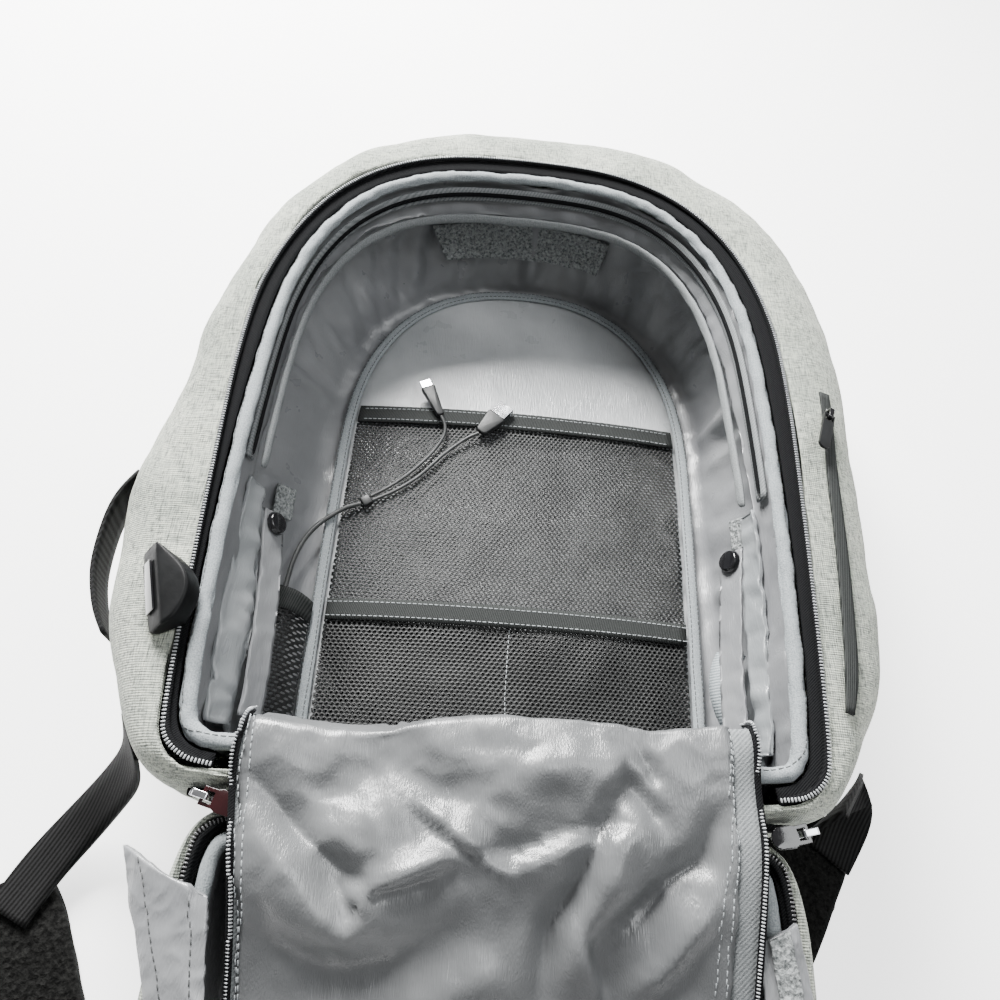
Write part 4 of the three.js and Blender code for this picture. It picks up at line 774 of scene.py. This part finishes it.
def slackPanel(work):  # the panel's satin lies slack under the mesh pockets
    edge = place(0, slack["edge"], 0).y
    for vert in work.verts:
        share = min(max((edge - vert.co.y) / slack["fade"], 0), 1)
        spot = Vector((vert.co.x / slack["size"][0], vert.co.y / slack["size"][1], slack["seed"]))
        coarse, fine = abs(noise.noise(spot)), abs(noise.noise(spot * slack["fine"]))
        ridge = min(1, slack["gain"] * coarse + slack["fineGain"] * fine)
        vert.co.z -= slack["depth"] * share * ridge


panelFolds = [{"amount": 0.0008, "size": 0.05, "seed": 6, "ridge": 0.5}]
dressed("pocket_panel", "sheenPaintedBacking", "satin", 4, panelFolds, shaped=slackPanel)
dressed("panel_binding", "binding", "binding_cloth", 2, [{"amount": 0.0004, "size": 0.012, "seed": 7}], **bound)
meshFolds = {
    "upper_mesh": {"amount": 0.0012, "size": 0.045, "seed": 9},
    "lower_mesh": {"amount": 0.0014, "size": 0.04, "seed": 10},
    "left_mesh": {"amount": 0.0012, "size": 0.02, "seed": 11},
}
for name, folds in meshFolds.items():
    dressed(f"{name}_pocket", "mesh", "dark_mesh", 3, [folds])
for name in meshFolds:
    dressed(f"{name}_hem", "hem", "dark_hem")
patchFolds = [{"amount": 0.0005, "size": 0.004, "seed": 12, "facing": outward}]
for name in ("top", "left", "right", "wing"):
    dressed(f"{name}_loop_patch", "loop", "loop_pile", 3, patchFolds)
pocketFolds = [
    {"amount": 0.0022, "size": 0.03, "seed": 13, "facing": outward, "ridge": 0.5, "stretch": (1, 2.2, 0.6)},
    {"amount": 0.0007, "size": 0.01, "seed": 14, "facing": outward},
]
strapFolds = [{"amount": 0.0007, "size": 0.012, "seed": 25, "facing": outward, "ridge": 0.6}]
drawnOut = 0.42  # share of its width that a side pocket gains towards the rim
for side, sign in (("left", -1), ("right", 1)):
    dressed(
        f"{side}_side_pocket", "satin", "satin", 3, pocketFolds,
        shaped=lambda work: widened(work, sign, drawnOut),
    )
    dressed(f"{side}_snap_strap", "satinDark", "satin", 3, strapFolds)
dressed("right_elastic_loop", "elastic", "grey_elastic")
dressed("side_zip_welt", "hem", "black_tape")
dressed("side_handle", "webbing", "black_webbing")
dressed("base_zip_band", "tape", "black_tape")
print("shell dressed")

# Lid, flap and straps

lidFolds = {
    "shell": [{"amount": 0.002, "size": 0.08, "seed": 15}],
    "lining": [{"amount": 0.002, "size": 0.04, "seed": 16}],
    "binding": [{"amount": 0.0006, "size": 0.012, "seed": 17}],
    "pad": [{"amount": 0.001, "size": 0.05, "seed": 18}],
}
dressed("lid_shell", "heather", "heather_cloth", 3, lidFolds["shell"], crease=0.8)
dressed("lid_lining", "satinDark", "lining_satin", 3, lidFolds["lining"], crease=0.8)
dressed("lid_zip_tape", "tape", "black_tape", **flatTape)
dressed("lid_binding", "binding", "binding_cloth", 3, lidFolds["binding"], **bound)
dressed("back_pad", "airMesh", "air_mesh", 3, lidFolds["pad"], crease=0.5)
for side, seed in (("left", 19), ("right", 20)):
    wingFolds = [
        {"amount": 0.0018, "size": 0.03, "seed": seed, "ridge": 0.5, "stretch": (1.6, 0.7, 1)},
        {"amount": 0.0006, "size": 0.01, "seed": seed + 10, "ridge": 0.7},
    ]
    dressed(f"{side}_wing", "satinDark", "satin", 4, wingFolds)
flapFolds = [
    {"amount": 0.0018, "size": 0.06, "seed": 21, "ridge": 0.4},
    {"amount": 0.0012, "size": 0.02, "seed": 22, "ridge": 0.8},
    {"amount": 0.0005, "size": 0.009, "seed": 24, "ridge": 0.9},
]
flapDrawn = [  # in millimetres of the rim's frame
    {
        "kind": "crease", "lift": -8.7, "width": 13,
        "line": [(-108, 0), (-93, -14), (-79, -26), (-65, -36), (-50, -38)],
    },
    {"kind": "soft", "lift": 5.8, "width": 13, "line": [(-100, -22), (-79, -48), (-61, -55)]},
    {"kind": "crease", "lift": -7.2, "width": 9, "line": [(-75, -34), (-60, -50), (-55, -45)]},
    {
        "kind": "crease", "lift": 7.2, "width": 11,
        "line": [(-59, -58), (-55, -46), (-51, -39), (-24, -26), (-8, -22)],
    },
    {"kind": "soft", "lift": -5.8, "width": 11, "line": [(-92, -3), (-75, -6), (-61, 4), (-55, 18)]},
    {"kind": "soft", "lift": -5.8, "width": 10, "line": [(-47, 20), (-40, 6), (-26, -3), (-9, -3)]},
    {"kind": "step", "lift": 4.3, "width": 11, "line": [(-38, -7), (-23, -18), (-8, -26)]},
    {"kind": "crease", "lift": -3.5, "width": 6, "line": [(-54, -44), (-42, -41), (-21, -33)]},
    {"kind": "soft", "lift": 4.3, "width": 9, "line": [(4, 3), (18, 10), (35, 13), (52, 13), (66, 12)]},
    {"kind": "crease", "lift": -5.8, "width": 7, "line": [(62, 22), (67, 14), (70, 6)]},
    {"kind": "crease", "lift": -5.8, "width": 8, "line": [(55, 12), (67, -4), (71, -9)]},
    {
        "kind": "crease", "lift": -10.2, "width": 12,
        "line": [(58, 9), (44, -14), (36, -33), (25, -50), (21, -78)],
    },
    {"kind": "soft", "lift": 5.8, "width": 12, "line": [(52, -8), (47, -28), (37, -48), (31, -70)]},
    {
        "kind": "step", "lift": 4.9, "width": 12,
        "line": [(44, -14), (28, -17), (18, -22), (6, -27), (-9, -26)],
    },
    {
        "kind": "crease", "lift": -8.7, "width": 12,
        "line": [(46, -54), (64, -44), (76, -32), (90, -22), (96, -4)],
    },
    {"kind": "crease", "lift": 5.8, "width": 10, "line": [(58, -74), (74, -62), (86, -48), (94, -38)]},
    {"kind": "step", "lift": -4.3, "width": 10, "line": [(38, -54), (44, -66), (50, -78)]},
    {"kind": "soft", "lift": -5.8, "width": 10, "line": [(-92, -62), (-70, -74), (-40, -70), (-12, -56)]},
    {"kind": "soft", "lift": 5.8, "width": 12, "line": [(-40, -92), (-14, -74), (8, -66)]},
]
dressed("divider_flap", "shadedFlapSatin", "satin", 3, flapFolds, drawn=flapDrawn)
dressed("flap_zip_tape", "greyTape", "grey_tape")
shoulderFolds = [{"amount": 0.001, "size": 0.03, "seed": 23}]
for side in ("left", "right"):
    dressed(f"{side}_shoulder_strap", "airMesh", "air_mesh", 3, shoulderFolds, crease=0.4)
    dressed(f"{side}_lower_webbing", "webbing", "black_webbing")
print("lid dressed")

# Zips: a black coil with teeth along its crown; on the main and flap zips the teeth are painted pale grey, a
# painted glint on the black coil

zips = {
    "main_zip_coil": {"pitch": 0.0017, "size": (0.0009, 0.0021, 0.0011), "lift": 0.001, "teeth": "glintPaintedCoil"},
    "lid_zip_coil": {"pitch": 0.0017, "size": (0.0009, 0.0021, 0.0011), "lift": 0.0007, "teeth": "coil"},
    "inner_zip_coil": {"pitch": 0.0015, "size": (0.0008, 0.0011, 0.0007), "lift": 0.0004, "teeth": "coil"},
    "flap_zip_coil": {"pitch": 0.0015, "size": (0.0008, 0.0017, 0.0012), "lift": 0.0009, "teeth": "glintPaintedCoil"},
}
toothBevel = 0.00028
for name, facts in zips.items():
    places = alongPlaces(*stripLine(name), facts["pitch"], facts["lift"])
    dressed(name, "tape", "zip_coil", **bound)
    scattered(f"teeth_{name}", templateBlock(facts["size"], toothBevel), places, facts["teeth"])
    print(name, len(places), "teeth")

# Stitches

hemRows = {"upper_mesh_hem": (278.6, 269.4, -107, 123), "lower_mesh_hem": (124.6, 115.4, -114, 130)}
hemHeight, hemParts = 36, 8
pitches = {"hem": 0.0034, "flap": 0.0032, "rim": 0.0036, "seam": 0.003}
rowAt = {"panel": 0.0034, "rim": 0.0034, "flap": 0.0045}  # how far a row lies from its line
for hemName, (high, low, left, right) in hemRows.items():
    for k, y in enumerate((high, low)):
        line = drawnLine(*((left + (right - left) * c / hemParts, y, hemHeight) for c in range(hemParts + 1)))
        stitched(f"stitches_{hemName}_{k}", hemName, line, 0, pitches["hem"], "paleThread")
wide = 0.0075  # bindings are wider than coils
bindingLine = stripLine("panel_binding", wide)
for k, side in enumerate((-rowAt["panel"], rowAt["panel"])):
    stitched(f"stitches_panel_{k}", "panel_binding", bindingLine, side, pitches["hem"], "thread", closed=True)
flapLeft = drawnLine(
    (-113, 30, 140), (-110, 4, 145), (-108, -16, 142), (-105, -38, 138), (-104, -60, 130), (-102, -84, 118)
)
flapRight = drawnLine(
    (104, 34, 142), (103, 12, 148), (101, -8, 145), (99, -34, 138), (97, -60, 130), (95, -88, 118)
)
flapRows = ((flapLeft, 0.0), (flapLeft, rowAt["flap"]), (flapRight, 0.0), (flapRight, -rowAt["flap"]))
for k, (line, side) in enumerate(flapRows):
    stitched(f"stitches_flap_{k}", "divider_flap", line, side, pitches["flap"], "paleThread")
rimLine = stripLine("rim_binding", wide)
stitched("stitches_rim", "rim_binding", rimLine, rowAt["rim"], pitches["rim"], "thread", closed=True)
wingRows = {
    "left_wing_0": [(-156, -33, 128), (-144, -57, 124), (-132, -84, 120), (-126, -111, 116), (-120, -136, 112)],
    "left_wing_1": [(-127, -48, 128), (-123, -66, 124), (-119, -90, 120), (-117, -113, 116), (-116, -136, 112)],
    "right_wing": [(122, -52, 128), (126, -80, 124), (128, -112, 119), (128, -142, 114)],
}
for name, spots in wingRows.items():
    wing = name.removesuffix("_0").removesuffix("_1")
    stitched(f"stitches_{name}", wing, drawnLine(*spots), 0, pitches["hem"], "thread")


pocketEdge = {"low": 0.0, "high": 0.13, "count": 12, "near": 0.006, "rows": (0.0062, 0.0105)}


def edgeLine(name, side, low, high, count):  # the inner edge of a dressed side pocket
    spots = bpy.data.objects[f"dressed_{name}"].data.vertices
    points = []
    for k in range(count):
        y = low + (high - low) * k / (count - 1)
        near = [vert.co for vert in spots if abs(vert.co.y - y) < pocketEdge["near"]]
        points.append(min(near, key=lambda co: side * co.x).copy())
    return points, [Vector((side, 0, 0))] * count


for side, sign in (("left", -1), ("right", 1)):
    edge = edgeLine(f"{side}_side_pocket", sign, *(pocketEdge[k] for k in ("low", "high", "count")))
    for k, away in enumerate(pocketEdge["rows"]):
        stitched(f"stitches_{side}_pocket_{k}", f"{side}_side_pocket", edge, away, pitches["hem"], "thread")
pocketSeam = drawnLine((8, 112, 40), (8, 90, 40), (8, 66, 38), (8, 42, 34))
stitched("stitches_pocket_seam", "lower_mesh_pocket", pocketSeam, 0, pitches["seam"], "paleThread")
print("stitches laid")

# Hard pieces: the solids' own shapes with rounded edges. The port's housing is smoothed as a whole.

hardPieces = {
    "left_snap": ("gloss", 0.0006), "right_snap": ("gloss", 0.0006), "side_zip_slider": ("gloss", 0.0003),
    "side_zip_pull": ("plastic", 0.0004), "usb_port_cover": ("gloss", 0.0004),
    "main_slider_left": ("metal", 0.0003), "main_pull_left": ("red", 0.0005),
    "main_slider_right": ("metal", 0.0003), "main_pull_right": ("gloss", 0.0005),
}
dressed("usb_port_housing", "rubber", "black_plastic", 3, sharp=hardEdge, crease=0.5)
for name, (finish, offset) in hardPieces.items():
    softEdged(name, finish, offset)

# Floor and light

floorSize = 4


def addFloor():
    work = bmesh.new()
    bmesh.ops.create_grid(work, x_segments=1, y_segments=1, size=floorSize)
    mesh = bpy.data.meshes.new("floor")
    work.to_mesh(mesh)
    work.free()
    mesh.materials.append(finishes["floor"])
    floor = bpy.data.objects.new("floor", mesh)
    bpy.context.collection.objects.link(floor)


lights = {
    "window": {
        "place": (-0.45, 1.3, 1.0), "aim": (0, 0.0, 0.1), "size": 0.7, "power": 135, "color": (1.0, 0.995, 0.98),
    },
    "fill": {"place": (0.8, 0.1, 1.6), "aim": (0, 0.1, 0), "size": 0.9, "power": 16, "color": (0.97, 0.99, 1.0)},
}
sky = {"Color": (1, 1, 1, 1), "Strength": 0.26}


def addLight(name):
    facts = lights[name]
    data = bpy.data.lights.new(name, "AREA")
    data.size = facts["size"]
    data.energy = facts["power"]
    data.color = facts["color"]
    light = bpy.data.objects.new(name, data)
    light.location = facts["place"]
    light.rotation_euler = (Vector(facts["aim"]) - Vector(facts["place"])).to_track_quat("-Z", "Y").to_euler()
    bpy.context.collection.objects.link(light)


def addSky():
    world = bpy.data.worlds.new("studio")
    bpy.context.scene.world = world
    world.use_nodes = True
    for key, value in sky.items():
        world.node_tree.nodes["Background"].inputs[key].default_value = value


addFloor()
for name in lights:
    addLight(name)
addSky()

# The cloth sheets: width, length and area of the cut, how it is held, and what it lies on.
# The areas are half of the surface of the construction's own solids, before any fold is put in.

sheets = {
    "outer_shell": (0.63, 0.69, 0.3993, "stretched", ["floor"]),
    "tray_lining": (0.5, 0.6, 0.2584, "stretched", ["dressed_outer_shell"]),
    "pocket_panel": (0.26, 0.4, 0.0967, "stretched", ["dressed_tray_lining"]),
    "upper_mesh_pocket": (0.237, 0.252, 0.0596, "stretched", ["dressed_pocket_panel"]),
    "lower_mesh_pocket": (0.236, 0.099, 0.0232, "stretched", ["dressed_upper_mesh_pocket"]),
    "left_mesh_pocket": (0.041, 0.098, 0.004, "stretched", ["dressed_tray_lining"]),
    "left_side_pocket": (0.054, 0.143, 0.0076, "gathered", ["dressed_tray_lining"]),
    "right_side_pocket": (0.04, 0.142, 0.0056, "gathered", ["dressed_tray_lining"]),
    "divider_flap": (0.218, 0.46, 0.1002, "draped", ["dressed_lid_lining", "dressed_rim_binding"]),
    "lid_shell": (0.345, 0.483, 0.1662, "stretched", ["dressed_back_pad"]),
    "lid_lining": (0.302, 0.445, 0.134, "stretched", ["dressed_lid_shell"]),
    "left_wing": (0.025, 0.11, 0.0027, "laid", ["dressed_lid_binding"]),
    "right_wing": (0.0215, 0.11, 0.0023, "laid", ["dressed_lid_binding"]),
}
for name, (width, length, cut, held, under) in sheets.items():
    piece = bpy.data.objects[f"dressed_{name}"]
    half = sum(face.area for face in piece.data.polygons) / 2
    print(name, "half of its area", round(half, 4), "cut", cut)
